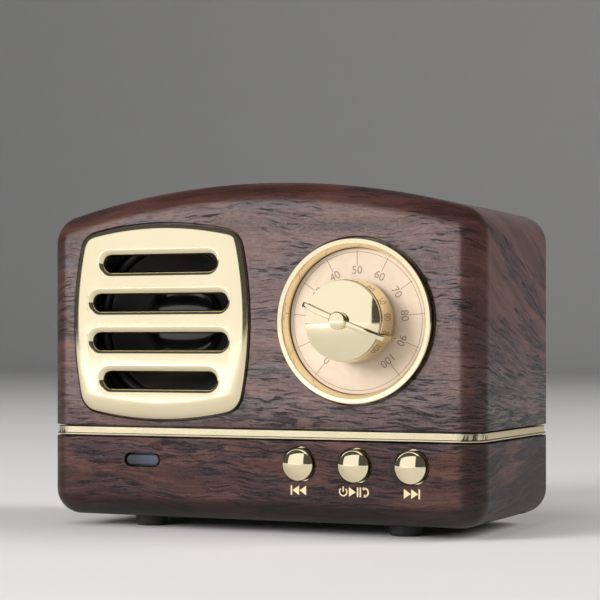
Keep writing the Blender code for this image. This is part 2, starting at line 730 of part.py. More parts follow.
def make_dial():
    """Gilt ring, printed scale plate and volume control. Heights are ahead of the front face."""
    place = {"location": (DIAL_X, FRONT_Y, DIAL_Z), "rotation": FACING}
    back = GAP - RING_SEAT
    ring = [
        (RING_FRONT_INNER, RING_PROUD),
        (RING_RADIUS - 0.4 * MM, RING_PROUD),
        (RING_RADIUS, RING_PROUD - 0.5 * MM),
        (RING_RADIUS, back),
        (RING_INNER, back),
        (RING_INNER, 0.2 * MM),
    ]
    turned_part("dial_ring", ring, "gilt", steps=48, **place)
    plate_radius = RING_INNER - GAP
    hole = BUSHING_RADIUS + GAP
    plate_front, plate_back = -PLATE_DEPTH, GAP - PLATE_SEAT
    plate = [
        (plate_radius, plate_front),
        (plate_radius, plate_back),
        (hole, plate_back),
        (hole, plate_front),
    ]
    turned_part("dial_plate", plate, "dial_print", steps=48, **place)
    wall_back = -UPPER_WALL
    bushing = [
        (BUSHING_RADIUS, 2.3 * MM),
        (BUSHING_RADIUS, wall_back),
        (SHAFT_RADIUS + 0.15 * MM, wall_back),
        (SHAFT_RADIUS + 0.15 * MM, 2.3 * MM),
    ]
    turned_part("control_bushing", bushing, "steel", steps=24, **place)
    nut_hexagon = arc((0, 0), 4.6 * MM, 0, 360, 6)[:-1]
    nut_low = GAP - PLATE_DEPTH
    nut_loops = [nut_hexagon, circle(BUSHING_RADIUS + GAP, steps=24)]
    nut = prism(nut_loops, nut_low, nut_low + NUT_HEIGHT, flat=True)
    add_part("control_nut", nut, "steel", **place)
    front = FRONT_Y + UPPER_WALL + GAP
    body = box(
        (DIAL_X - 5 * MM, front, DIAL_Z - 5.5 * MM),
        (DIAL_X + 5 * MM, front + 5.5 * MM, DIAL_Z + 5.5 * MM),
    )
    control = add_part("volume_control", body, "black_plastic")
    for step in (-1, 0, 1):
        pin_x = DIAL_X + step * 2.5 * MM
        pin = ((pin_x - 0.4 * MM, front + 3.9 * MM), (pin_x + 0.4 * MM, front + 4.6 * MM))
        join(control, box((*pin[0], DIAL_Z - 8.5 * MM), (*pin[1], DIAL_Z - 5 * MM)))


def make_knob():
    """Turning knob. Its parent empty lies on the shaft's axis, +X along the pointer."""
    axis = bpy.data.objects.new("knob_axis", None)
    axis.location = (DIAL_X, FRONT_Y, DIAL_Z)
    axis.rotation_euler = (math.radians(90), math.radians(POINTER_ANGLE - 90), 0)
    PARTS.objects.link(axis)
    base = 0.4 * MM
    cap_seat = 5.6 * MM
    hollow = 3.4 * MM
    body = [
        (0, cap_seat),
        (KNOB_RADIUS - 0.2 * MM, cap_seat),
        (KNOB_RADIUS, cap_seat - 0.2 * MM),
        (KNOB_BASE_RADIUS, base + 0.3 * MM),
        (KNOB_BASE_RADIUS - 0.2 * MM, base),
        (6.3 * MM, base),
        (6.3 * MM, hollow),
        (3.2 * MM, hollow),
        (3.2 * MM, 2.7 * MM),
        (SHAFT_RADIUS + GAP, 2.7 * MM),
        (SHAFT_RADIUS + GAP, 5.0 * MM),
        (0, 5.0 * MM),
    ]
    turned_part("knob_body", body, "gilt", ring=False, steps=36, parent=axis)
    shaft = [(0, 4.7 * MM), (SHAFT_RADIUS, 4.7 * MM), (SHAFT_RADIUS, -2.0 * MM), (0, -2.0 * MM)]
    turned_part("knob_shaft", shaft, "steel", ring=False, steps=24, parent=axis)
    cap_radius = KNOB_RADIUS - 0.1 * MM
    cap_base = cap_seat + GAP
    crown = 7.6 * MM
    edge = KNOB_RIM + 0.05 * MM
    sphere = (cap_radius**2 + (crown - edge) ** 2) / 2 / (crown - edge)
    sweep = math.degrees(math.asin(cap_radius / sphere))
    dome = arc((0, crown - sphere), sphere, 90, 90 - sweep, 8)
    dome[0] = (0, crown)
    cap = dome + [(cap_radius, cap_base), (0, cap_base)]
    turned_part("knob_cap", cap, "gilt", ring=False, steps=36, parent=axis)
    inner = sphere + 0.25 * MM
    outer = sphere + 0.75 * MM
    leg_in = KNOB_BASE_RADIUS + GAP
    leg_out = leg_in + 0.5 * MM
    lean_in = math.degrees(math.asin(leg_in / inner))
    lean_out = math.degrees(math.asin(leg_out / outer))
    side = arc((0, crown - sphere), outer, 90 - lean_out, 90 + lean_in, 14)
    under = arc((0, crown - sphere), inner, 90 + lean_in, 90 - lean_in, 14)
    bar_outline = side + under + [(leg_in, base + 0.2 * MM), (leg_out, base + 0.2 * MM)]
    half = POINTER_WIDTH / 2
    pointer = add_part("pointer_bar", prism([bar_outline], -half, half), "gilt", parent=axis)
    boss = [
        (0, KNOB_REACH),
        (1.4 * MM, KNOB_REACH - 0.1 * MM),
        (1.6 * MM, KNOB_REACH - 0.3 * MM),
        (1.6 * MM, crown + 0.3 * MM),
        (0, crown + 0.3 * MM),
    ]
    join(pointer, profile_mesh(boss, False), steps=24)


def make_buttons():
    """Three domed buttons with their tact switches, and the board that carries the switches."""
    dome_rise = 0.9 * MM
    sphere = (BUTTON_RADIUS**2 + dome_rise**2) / 2 / dome_rise
    sweep = math.degrees(math.asin(BUTTON_RADIUS / sphere))
    dome_edge = 0.7 * MM
    dome = arc((0, dome_edge + dome_rise - sphere), sphere, 90, 90 - sweep, 5)
    dome[0] = (0, dome_edge + dome_rise)
    flange = -LOWER_WALL - GAP
    cap = dome + [
        (BUTTON_RADIUS, flange),
        (3.75 * MM, flange),
        (3.75 * MM, flange - 0.8 * MM),
        (1.0 * MM, flange - 0.8 * MM),
        (1.0 * MM, -4.0 * MM),
        (0, -4.0 * MM),
    ]
    switch_front = FRONT_Y + 5.4 * MM
    switch_back = FRONT_Y + BOARD_DEPTH - GAP
    half = 3.0 * MM
    for name, x in BUTTONS.items():
        place = {"location": (x, FRONT_Y, BUTTON_Z), "rotation": FACING}
        turned_part(f"button_{name}", cap, "gilt", ring=False, steps=24, **place)
        switch = add_part(
            f"tact_switch_{name}",
            box((x - half, switch_front, BUTTON_Z - half), (x + half, switch_back, BUTTON_Z + half)),
            "black_plastic",
        )
        tip = FRONT_Y + 4.0 * MM + BUTTON_TRAVEL + 0.1 * MM
        join(switch, cylinder(1.6 * MM, tip, switch_front + 0.5 * MM, (x, BUTTON_Z), 16, "Y"))
    board_front = FRONT_Y + BOARD_DEPTH
    board = box((-30 * MM, board_front, 5 * MM), (34.8 * MM, board_front + BOARD_THICK, 16.4 * MM))
    add_part("button_board", board, "circuit_board")
    header_back = FRONT_Y + MAIN_BOARD_FRONT + 2.5 * MM
    header = box(
        (-8 * MM, board_front + BOARD_THICK + GAP, PARTS_Z),
        (2 * MM - GAP * 2, header_back, PARTS_Z + 2.5 * MM),
    )
    add_part("link_header", header, "black_plastic")


def make_indicator():
    """Smoked window clipped in the tray's front, with its lamp behind."""
    centre = (WINDOW_X, WINDOW_Z)
    flange_front = FRONT_Y + LOWER_WALL + GAP
    lens = add_part(
        "indicator_window",
        prism([obround(*WINDOW_SIZE, centre)], FRONT_Y + 0.1 * MM, flange_front + 0.3 * MM),
        "smoked_lens",
    )
    flange = [obround(WINDOW_SIZE[0] + 2 * MM, WINDOW_SIZE[1] + 2 * MM, centre)]
    join(lens, prism(flange, flange_front, flange_front + 0.7 * MM))
    lamp_back = FRONT_Y + BOARD_DEPTH - GAP
    lamp = cylinder(1.5 * MM, lamp_back - 4.5 * MM, lamp_back, centre, 20, "Y")
    add_part("indicator_led", lamp, "white_led")


def make_main_board():
    """Main board in the tray with what stands on it."""
    rear = REAR_Y - LOWER_WALL - GAP
    half = MAIN_BOARD_HALF
    board = box(
        (-half, FRONT_Y + MAIN_BOARD_FRONT, MAIN_BOARD_Z), (half, rear, MAIN_BOARD_Z + BOARD_THICK)
    )
    add_part("main_board", board, "circuit_board")
    low = PARTS_Z
    module = box((16 * MM, -2 * MM, low), (30 * MM, 10 * MM, low + 2 * MM))
    add_part("wireless_module", module, "battery_foil")
    chip = box((-8 * MM, 3 * MM, low), (-2 * MM, 8 * MM, low + 1.6 * MM))
    add_part("amplifier_chip", chip, "black_plastic")

    usb = add_part(
        "usb_socket",
        box((USB_X - 3.8 * MM, rear - 5.2 * MM, low), (USB_X + 3.8 * MM, rear, low + 2.8 * MM)),
        "steel",
    )
    for under, over in ((0.3 * MM, 1.1 * MM), (1.7 * MM, 2.5 * MM)):
        cut(
            usb,
            box(
                (USB_X - 3.4 * MM, rear - 4.6 * MM, low + under),
                (USB_X + 3.4 * MM, rear + MM, low + over),
            ),
        )
    jack = add_part(
        "audio_jack",
        box((JACK_X - 3.2 * MM, rear - 10 * MM, low), (JACK_X + 3.2 * MM, rear, low + 6 * MM)),
        "black_plastic",
    )
    jack_centre = (JACK_X, low + 3 * MM)
    join(jack, cylinder(2.8 * MM, rear - 0.5 * MM, rear + 1.2 * MM, jack_centre, 24, "Y"))
    cut(jack, cylinder(1.75 * MM, rear - 8.5 * MM, rear + 2 * MM, jack_centre, 20, "Y"))
    card = add_part(
        "card_slot",
        box((CARD_X - 6.2 * MM, rear - 12 * MM, low), (CARD_X + 6.2 * MM, rear, low + 1.8 * MM)),
        "steel",
    )
    card_way = box(
        (CARD_X - 5.6 * MM, rear - 11.4 * MM, low + 0.45 * MM),
        (CARD_X + 5.6 * MM, rear + MM, low + 1.35 * MM),
    )
    cut(card, card_way)
    capsule = cylinder(2.0 * MM, rear - 1.6 * MM, rear, (MICROPHONE_X, low + 2.4 * MM), 20, "Y")
    add_part("microphone", capsule, "black_plastic")


def make_battery():
    """Pouch cell taped to the rear wall of the upper shell."""
    wall = REAR_Y - UPPER_WALL
    pad_front = wall - GAP - 1.0 * MM
    pad = box((5 * MM, pad_front, 33 * MM), (35 * MM, wall - GAP, 51 * MM))
    add_part("battery_pad", pad, "foam")
    cell_back = pad_front - GAP
    outline = rounded_rectangle(35 * MM, 26 * MM, 1.5 * MM, (20 * MM, 42 * MM), 3)
    add_part("battery", prism([outline], cell_back - 6 * MM, cell_back), "battery_foil")


def make_leads():
    """Leads held inside the cabinet."""
    radius = 0.45 * MM
    for name, finish, x in (
        ("speaker_lead_positive", "red_lead", GRILLE_X + 3 * MM),
        ("speaker_lead_negative", "black_lead", GRILLE_X + 6 * MM),
    ):
        route = (
            (x, -2.0 * MM, 27.4 * MM),
            (x, 0.0 * MM, 22.5 * MM),
            (x - MM, 3.5 * MM, 17.0 * MM),
            (x + MM, 3.0 * MM, 12.0 * MM),
            (x, 1.5 * MM, PARTS_Z + 0.2 * MM),
        )
        add_lead(name, route, radius, finish)
    battery_route = (
        (10 * MM, 19.8 * MM, 28.4 * MM),
        (9 * MM, 17.0 * MM, 22.5 * MM),
        (8 * MM, 10.5 * MM, 15.0 * MM),
        (9 * MM, 6.0 * MM, PARTS_Z + 0.2 * MM),
    )
    add_lead("battery_lead", battery_route, radius, "red_lead")
    control_route = (
        (DIAL_X, FRONT_Y + 6.9 * MM, DIAL_Z - 9.4 * MM),
        (DIAL_X - MM, FRONT_Y + 10 * MM, DIAL_Z - 14 * MM),
        (DIAL_X - 6 * MM, FRONT_Y + 15 * MM, DIAL_Z - 21 * MM),
        (DIAL_X - 8 * MM, FRONT_Y + 15 * MM, PARTS_Z + 0.2 * MM),
    )
    add_lead("control_lead", control_route, 0.7 * MM, "black_lead")


make_upper_cabinet()
make_lower_cabinet()
make_trim_band()
make_feet_and_case_screws()
make_grille()
make_driver()
make_dial()
make_knob()
make_buttons()
make_indicator()
make_main_board()
make_battery()
make_leads()
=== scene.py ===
import math

import bmesh
import bpy
from mathutils import Matrix, Vector


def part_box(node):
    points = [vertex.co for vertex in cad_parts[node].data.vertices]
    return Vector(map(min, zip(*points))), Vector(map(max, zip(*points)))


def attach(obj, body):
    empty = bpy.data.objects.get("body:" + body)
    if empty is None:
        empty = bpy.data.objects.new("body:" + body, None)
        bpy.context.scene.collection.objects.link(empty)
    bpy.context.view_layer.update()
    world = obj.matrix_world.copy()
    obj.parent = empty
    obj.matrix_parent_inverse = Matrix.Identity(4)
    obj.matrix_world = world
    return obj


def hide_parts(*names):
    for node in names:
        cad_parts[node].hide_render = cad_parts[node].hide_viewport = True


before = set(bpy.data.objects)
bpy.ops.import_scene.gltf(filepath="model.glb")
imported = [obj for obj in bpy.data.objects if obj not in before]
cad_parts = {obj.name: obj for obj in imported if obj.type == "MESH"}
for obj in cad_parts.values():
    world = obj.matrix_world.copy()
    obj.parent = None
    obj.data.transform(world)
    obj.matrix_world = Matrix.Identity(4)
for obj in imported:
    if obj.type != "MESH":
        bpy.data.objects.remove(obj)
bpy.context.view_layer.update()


# Upper cabinet: an injection-moulded shell with a slightly arched top, covered all over by a printed
# wood-grain film under a satin lacquer. The grille and the dial ring lie in shallow seats in its front,
# and it is held to the tray by four screws that come up from below into its posts.
MM = 0.001
shell_low, shell_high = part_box("upper_cabinet")
tray_low, tray_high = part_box("lower_cabinet")
half_width = shell_high.x
front, rear = shell_low.y, shell_high.y
underside, crown = tray_low.z, shell_high.z
crown_radius = 152.3 * MM
top_corner, bottom_corner = 5.5 * MM, 5.0 * MM
edge_round = 4.85 * MM
shell_wall, tray_wall = 2.2 * MM, 1.6 * MM
shell_edge = 19.7 * MM
seam_edge = 0.12 * MM  # the moulded edges' own small rounding
four_corners = [f"{end}_{side}" for end in ("front", "rear") for side in ("left", "right")]
quadrants = ((1, 1), (-1, 1), (-1, -1), (1, -1))


def centre_of(node, axes="xz"):
    """Middle of a node's box, in two axes."""
    low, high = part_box(node)
    return tuple((getattr(low, axis) + getattr(high, axis)) / 2 for axis in axes)


post_places = [centre_of(f"case_screw_{corner}", "xy") for corner in four_corners]


class Shade:
    """A socket of a material, written in sums and products."""

    def __init__(self, tree, socket):
        self.tree = tree
        self.socket = socket

    def node(self, kind, settings, sockets, out=0):
        """Adds a node: its settings first, then the values or links of its sockets."""
        made = self.tree.nodes.new(kind)
        for name, value in settings.items():
            if name == "stops":
                ramp = made.color_ramp
                while len(ramp.elements) < len(value):
                    ramp.elements.new(0.5)
                for element, (at, colour) in zip(ramp.elements, value):
                    element.position = at
                    element.color = (*colour, 1.0)
            else:
                setattr(made, name, value)
        for name, value in sockets.items():
            if isinstance(value, Shade):
                self.tree.links.new(value.socket, made.inputs[name])
            else:
                made.inputs[name].default_value = value
        return Shade(self.tree, made.outputs[out])

    def math(self, operation, *values):
        return self.node("ShaderNodeMath", {"operation": operation}, dict(enumerate(values)))

    def __add__(self, other):
        return self.math("ADD", self, other)

    __radd__ = __add__

    def __sub__(self, other):
        return self.math("SUBTRACT", self, other)

    def __rsub__(self, other):
        return self.math("SUBTRACT", other, self)

    def __mul__(self, other):
        return self.math("MULTIPLY", self, other)

    __rmul__ = __mul__

    def spread(self, low, high, low_to=0.0, high_to=1.0):
        """The value between low and high, smoothly, turned to between low_to and high_to."""
        return self.node(
            "ShaderNodeMapRange",
            {"interpolation_type": "SMOOTHSTEP"},
            {"Value": self, "From Min": low, "From Max": high, "To Min": low_to, "To Max": high_to},
        )

    def noise(self, scale, detail=2.0, stretch=(1, 1, 1), rough=0.5):
        """Noise on this vector, its scale per millimetre."""
        moved = self.node("ShaderNodeMapping", {}, {"Vector": self, "Scale": [s / MM for s in stretch]})
        return self.node(
            "ShaderNodeTexNoise", {}, {"Vector": moved, "Scale": scale, "Detail": detail, "Roughness": rough}
        )

    def mixed(self, first, second):
        """The two colours, mixed by this value."""
        return self.node("ShaderNodeMix", {"data_type": "RGBA"}, {0: self, 6: first, 7: second}, out=2)

    def ramp(self, *stops):
        return self.node("ShaderNodeValToRGB", {"stops": stops}, {"Fac": self})

    def split(self):
        parts = self.node("ShaderNodeSeparateXYZ", {}, {"Vector": self})
        return [Shade(self.tree, parts.socket.node.outputs[axis]) for axis in range(3)]

    def bump(self, strength, depth):
        return self.node(
            "ShaderNodeBump", {}, {"Height": self, "Strength": strength, "Distance": depth}
        )


def new_finish(name, **constants):
    """A material with constant socket values, its shader, and the object's own coordinates."""
    made = bpy.data.materials.new(name)
    made.use_nodes = True
    tree = made.node_tree
    shader = tree.nodes["Principled BSDF"]
    for socket, value in constants.items():
        shader.inputs[socket.replace("_", " ")].default_value = value
    return made, shader, Shade(tree, tree.nodes.new("ShaderNodeTexCoord").outputs["Object"])


def feed(shader, **links):
    """Links values to the shader's sockets, underscores standing for the spaces in their names."""
    for socket, value in links.items():
        value.tree.links.new(value.socket, shader.inputs[socket.replace("_", " ")])


def wood_film():
    """Printed grain: reddish brown, dark dashes, grey streaks; level on the front, slanting at the sides;
    darker towards the bottom and at the rounded front edges as painted shade.
    """
    made, shader, place = new_finish("wood_film", IOR=1.35, Coat_IOR=2.1, Coat_Roughness=0.22)
    x, y, z = place.split()
    behind = (y - front) * (1 / MM)
    height = z * (1 / MM)
    slant = height.spread(10, 42, -0.14, 0.50)
    drift = place.noise(0.022, 2.0) - 0.5
    sway = place.noise(0.10, 2.0, (1, 1, 1.4)) - 0.5
    shiver = place.noise(0.42, 1.0, (1, 1, 1.2)) - 0.5
    across = height + slant * behind + drift * 6.5 + sway * 2.4 + shiver * 0.55
    grain = place.node("ShaderNodeCombineXYZ", {}, {"X": x + behind * MM, "Y": across * MM, "Z": x * 0.2})
    bands = grain.noise(1.0, 3.0, (0.018, 0.26, 0.1), 0.6)
    patches = grain.noise(1.0, 2.0, (0.045, 0.16, 0.1))
    streaks = grain.noise(1.0, 3.0, (0.085, 1.15, 0.1), 0.6)
    dashes = grain.noise(1.0, 2.0, (0.26, 2.9, 0.4), 0.55)
    pores = grain.noise(1.0, 2.0, (0.75, 5.0, 1.0))
    sparkle = place.noise(2.6, 2.0)
    warm = bands.ramp(
        (0.34, (0.050, 0.016, 0.011)),
        (0.46, (0.094, 0.031, 0.022)),
        (0.56, (0.140, 0.054, 0.042)),
        (0.68, (0.070, 0.031, 0.030)),
    )
    width = x.math("ABSOLUTE", x)
    level = place.node("ShaderNodeCombineXYZ", {}, {"X": x, "Z": z})
    side = width.spread(43.6 * MM, 44.2 * MM)
    denser = height.spread(14, 48, 0.05, -0.03) + side * 0.04
    cloudy = (patches + denser).spread(0.44, 0.62)
    smoky = ((bands.spread(0.48, 0.62) * 0.5 + 0.3) * cloudy).mixed(warm, (0.027, 0.023, 0.034, 1))
    streak = (streaks + denser).spread(0.50, 0.62) * (0.3 + 0.7 * cloudy)
    streaked = (streak * 0.72).mixed(smoky, (0.010, 0.008, 0.014, 1))
    dash = (dashes + denser * 0.7).spread(0.53, 0.62) * (0.3 + 0.7 * (patches + denser).spread(0.38, 0.54))
    dashed = (dash * 0.88).mixed(streaked, (0.002, 0.001, 0.002, 1))
    pored = (pores.spread(0.50, 0.68) * 0.35).mixed(dashed, (0.016, 0.009, 0.009, 1))
    sparkled = (sparkle.spread(0.50, 0.72) * 0.22).mixed(pored, (0.14, 0.088, 0.080, 1))
    gloss = (1 - streak * 0.45) * (1 - dash * 0.75) * (1 - pores.spread(0.46, 0.66) * 0.35)
    thin = height.spread(14, 26, 0.14, 1.0)
    arch_centre = (0, 0, crown - crown_radius)
    spoke = place.node("ShaderNodeVectorMath", {"operation": "SUBTRACT"}, {0: level, 1: arch_centre})
    reach = spoke.node("ShaderNodeVectorMath", {"operation": "LENGTH"}, {0: spoke}, out=1)
    under_arch = crown_radius - reach
    inwards = place.math("MINIMUM", half_width - width, under_arch)
    inwards = place.math("MINIMUM", inwards, z - underside) * (1 / MM)
    # this mask picks out the rounded front edges; there the base colour is darkened and the coat taken down
    # as painted shade, in place of the dark reflection those edges catch
    edge_shade = inwards.spread(3.0, 4.4, 1.0, 0.0) * behind.spread(3.4, 4.6, 1.0, 0.0)
    # Base colour: darkened towards the bottom of the cabinet, painted shade, and at the rounded front edges,
    # painted shade.
    feed(
        shader,
        Base_Color=(height.spread(2, 24, 0.42, 0.0) + edge_shade * 0.4).mixed(sparkled, (0.012, 0.008, 0.007, 1)),
        Roughness=0.36 + 0.12 * pores,
        Coat_Weight=gloss * thin * (1 - edge_shade * 0.7) * sparkle.spread(0.35, 0.65, 0.7, 1.0),
        Normal=(pores * 0.5 + sparkle * 0.5).bump(0.30, 0.03 * MM),
    )
    return made


def mesh_piece(name, work, finish, smooth=40):
    """Makes the working mesh a piece at the origin, smooth except at edges over so many degrees."""
    mesh = bpy.data.meshes.new(name)
    work.to_mesh(mesh)
    work.free()
    mesh.materials.append(finish)
    mesh.shade_smooth()
    mesh.set_sharp_from_angle(angle=math.radians(smooth))
    made = bpy.data.objects.new(name, mesh)
    bpy.context.scene.collection.objects.link(made)
    return made


def settle(piece):
    """Makes the piece's mesh what its modifiers make of it."""
    graph = bpy.context.evaluated_depsgraph_get()
    mesh = bpy.data.meshes.new_from_object(piece.evaluated_get(graph))
    piece.modifiers.clear()
    piece.data = mesh
    return piece


def swing(work, verts, centre, axis, angle, steps):
    """Sweeps the newest points round a centre and returns the last ones."""
    swept = bmesh.ops.spin(work, geom=verts, cent=centre, axis=axis, angle=math.radians(angle), steps=steps)
    return [v for v in swept["geom_last"] if isinstance(v, bmesh.types.BMVert)]


def draw_to(work, verts, place):
    """Draws an edge from the newest point to a place."""
    made = bmesh.ops.extrude_vert_indiv(work, verts=verts)["verts"]
    made[0].co = place
    return made


def push_on(work, extruded, way):
    """Moves the newly extruded points on and turns every face outward."""
    moved = [v for v in extruded["geom"] if isinstance(v, bmesh.types.BMVert)]
    bmesh.ops.translate(work, vec=way, verts=moved)
    bmesh.ops.recalc_face_normals(work, faces=work.faces)


def cabinet_blank(inset, y_low, y_high, rim, fine):
    """The cabinet's outline, moved in by inset, between two depths, its front and rear rims rounded."""
    work = bmesh.new()
    half = half_width - inset
    arch = crown_radius - inset
    top, bottom = top_corner - inset, bottom_corner - inset
    top_x = half - top
    lift = math.sqrt((arch - top) ** 2 - top_x**2)
    arch_z = crown - crown_radius
    lean = math.degrees(math.atan2(lift, top_x))
    low_z = underside + inset
    newest = [work.verts.new((0, y_low, low_z))]
    newest = draw_to(work, newest, (half - bottom, y_low, low_z))
    newest = swing(work, newest, (half - bottom, y_low, low_z + bottom), (0, -1, 0), 90, 3 * fine)
    newest = draw_to(work, newest, (half, y_low, arch_z + lift))
    newest = swing(work, newest, (top_x, y_low, arch_z + lift), (0, -1, 0), lean, 3 * fine)
    swing(work, newest, (0, y_low, arch_z), (0, -1, 0), 90 - lean, 5 * fine)
    bmesh.ops.mirror(work, geom=work.verts[:] + work.edges[:], axis="X", merge_dist=0.001 * MM)
    bmesh.ops.remove_doubles(work, verts=work.verts, dist=0.001 * MM)
    face = bmesh.ops.contextual_create(work, geom=work.edges[:])["faces"]
    push_on(work, bmesh.ops.extrude_face_region(work, geom=face), (0, y_high - y_low, 0))
    if rim:
        edges = [e for e in work.edges if abs(e.verts[0].co.y - e.verts[1].co.y) < 0.01 * MM]
        bmesh.ops.bevel(
            work, geom=edges, offset=rim, segments=3 * fine, profile=0.5, affect="EDGES", material=-1
        )
    return work


def block(low, high):
    """A box between two corners."""
    work = bmesh.new()
    bmesh.ops.create_cube(work, size=1)
    bmesh.ops.scale(work, vec=[b - a for a, b in zip(low, high)], verts=work.verts)
    bmesh.ops.translate(work, vec=[(a + b) / 2 for a, b in zip(low, high)], verts=work.verts)
    return work


def rod(radius, low, high, centre, steps=48, along="Z"):
    """A cylinder along Z, or along Y with its centre given in X and Z."""
    work = bmesh.new()
    bmesh.ops.create_cone(
        work, cap_ends=True, segments=steps, radius1=radius, radius2=radius, depth=high - low
    )
    middle = (low + high) / 2
    if along == "Y":
        bmesh.ops.rotate(work, matrix=Matrix.Rotation(math.radians(90), 3, "X"), verts=work.verts)
        bmesh.ops.translate(work, vec=(centre[0], middle, centre[1]), verts=work.verts)
    else:
        bmesh.ops.translate(work, vec=(centre[0], centre[1], middle), verts=work.verts)
    return work


def shape(piece, operation, work):
    """Cuts the working mesh from a piece or joins it on, and bakes the result in."""
    tool = mesh_piece("tool", work, piece.data.materials[0])
    boolean = piece.modifiers.new("shape", "BOOLEAN")
    boolean.operation = operation
    boolean.solver = "EXACT"
    boolean.object = tool
    settle(piece)
    bpy.data.objects.remove(tool)


def cut(piece, work):
    """Takes the working mesh out of a piece."""
    shape(piece, "DIFFERENCE", work)


def join(piece, work):
    """Makes the working mesh one with a piece."""
    shape(piece, "UNION", work)


def keep_flats(piece):
    """Keeps the flat faces flat in their shading, beside small roundings."""
    piece.modifiers.new("flats", "WEIGHTED_NORMAL").keep_sharp = True
    return settle(piece)


def ease_edges(piece, width, segments=2, angle=50):
    """Rounds the sharp edges a little."""
    bevel = piece.modifiers.new("edges", "BEVEL")
    bevel.width = width
    bevel.segments = segments
    bevel.limit_method = "ANGLE"
    bevel.angle_limit = math.radians(angle)
    bevel.use_clamp_overlap = False
    settle(piece)
    piece.data.shade_smooth()
    piece.data.set_sharp_from_angle(angle=math.radians(60))
    return keep_flats(piece)


def loop_at(work, points, y):
    """Closed loop of edges through points given in X and Z."""
    verts = [work.verts.new((x, y, z)) for x, z in points]
    return [work.edges.new(pair) for pair in zip(verts, verts[1:] + verts[:1])]


def slab(points, y_low, y_high):
    """A plate with this outline in X and Z, between two depths."""
    work = bmesh.new()
    face = bmesh.ops.contextual_create(work, geom=loop_at(work, points, y_low))["faces"]
    push_on(work, bmesh.ops.extrude_face_region(work, geom=face), (0, y_high - y_low, 0))
    return work


def round_points(centre, radius, start, end, steps=6):
    """Points on an arc in X and Z."""
    turns = [math.radians(start + (end - start) * i / steps) for i in range(steps + 1)]
    return [(centre[0] + radius * math.cos(t), centre[1] + radius * math.sin(t)) for t in turns]


grille_low, grille_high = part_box("grille_plate")
grille_x, grille_z = centre_of("grille_plate")
grille_half = (grille_high.x - grille_low.x) / 2
bulge_radius, grille_corner = 68.0 * MM, 4.0 * MM


def grille_outline(inset, fine=10):
    """Square with bulging sides and round corners, moved in by inset."""
    half = grille_half - inset
    side = bulge_radius - inset
    corner = grille_corner - inset
    back = side - half
    tip = (math.sqrt(2 * (side - corner) ** 2 - back**2) - back) / 2
    lean = math.degrees(math.atan2(tip, tip + back))
    points = []
    for quarter in range(4):
        turn = math.radians(90 * quarter)
        out = Vector((math.cos(turn), math.sin(turn)))
        up = Vector((-out.y, out.x))
        middle = Vector((grille_x, grille_z)) - back * out
        knuckle = Vector((grille_x, grille_z)) + tip * (out + up)
        start = 90 * quarter
        points += round_points(middle, side, start - lean, start + lean, 2 * fine)
        points += round_points(knuckle, corner, start + lean, start + 90 - lean, fine)[1:-1]
    return points


def plan_outline(inset, fine=12):
    """The cabinet's straight-sided plan, moved in by inset, as points in X and Y."""
    corner = edge_round - inset
    points = []
    for quarter, (u, v) in enumerate(quadrants):
        middle = (
            u * (half_width - inset - corner),
            (front + rear) / 2 + v * ((rear - front) / 2 - inset - corner),
        )
        points += round_points(middle, corner, 90 * quarter, 90 * quarter + 90, fine)
    return points


def hoop(inset, width, z_low, z_high):
    """A band of this width that follows the plan, moved in by inset, between two heights."""
    work = bmesh.new()
    verts = [work.verts.new((x, y, z_low)) for x, y in plan_outline(inset)]
    edges = [work.edges.new(pair) for pair in zip(verts, verts[1:] + verts[:1])]
    middle = bmesh.ops.contextual_create(work, geom=edges)["faces"]
    bmesh.ops.inset_region(work, faces=middle, thickness=width, use_boundary=True)
    bmesh.ops.delete(work, geom=middle, context="FACES")
    push_on(work, bmesh.ops.extrude_face_region(work, geom=work.faces[:]), (0, 0, z_high - z_low))
    return work


film = wood_film()
ring_low, ring_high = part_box("dial_ring")
dial_x, dial_z = dial_centre = centre_of("dial_ring")
ring_radius = (ring_high.x - ring_low.x) / 2
seat_gap = 0.35 * MM
grille_seat, ring_seat, plate_seat = 0.9 * MM, 1.0 * MM, 1.5 * MM
lip_inset, lip_width, lip_low = 1.9 * MM, 1.2 * MM, 15.9 * MM
post_radius, post_low, post_top, pilot_radius = 2.6 * MM, 8.3 * MM, 27 * MM, 1.2 * MM
web_half, web_low, web_top = 0.6 * MM, shell_edge + 0.2 * MM, 26 * MM
sound_hole, ring_inner, bushing_hole = 17.3 * MM, 13.4 * MM, 3.3 * MM
through = front + 3 * MM
far = 100 * MM

upper_cabinet = mesh_piece("upper_cabinet_shell", cabinet_blank(0, front, rear, edge_round, 4), film)
cut(upper_cabinet, block((-far, -far, -far), (far, far, shell_edge)))
cavity = cabinet_blank(shell_wall, front + shell_wall, rear - shell_wall, 0, 2)
cut(upper_cabinet, cavity)
lip = hoop(lip_inset, lip_width, lip_low, shell_edge + 0.7 * MM)
join(upper_cabinet, lip)
for x, y in post_places:
    join(upper_cabinet, rod(post_radius, post_low, post_top, (x, y), 24))
    wall_x = math.copysign(half_width - 1.2 * MM, x)
    inner, outer = sorted((x, wall_x))
    web = block((inner, y - web_half, web_low), (outer, y + web_half, web_top))
    join(upper_cabinet, web)
    cut(upper_cabinet, rod(pilot_radius, post_low - 1.3 * MM, 20 * MM, (x, y), 16))
cut(upper_cabinet, slab(grille_outline(-seat_gap, 6), front - MM, front + grille_seat))
cut(upper_cabinet, rod(sound_hole, front, through, (grille_x, grille_z), 64, "Y"))
cut(upper_cabinet, rod(ring_radius + seat_gap, front - MM, front + ring_seat, dial_centre, 96, "Y"))
cut(upper_cabinet, rod(ring_inner, front, front + plate_seat, dial_centre, 96, "Y"))
cut(upper_cabinet, rod(bushing_hole, front, through, dial_centre, 32, "Y"))
flange_low, flange_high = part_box("button_previous")[0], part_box("button_next")[1]
notch = block((flange_low.x - MM, front, 0), (flange_high.x + MM, front + 4 * MM, flange_high.z + 0.7 * MM))
cut(upper_cabinet, notch)
ease_edges(upper_cabinet, seam_edge)
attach(upper_cabinet, "cabinet")
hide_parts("upper_cabinet")


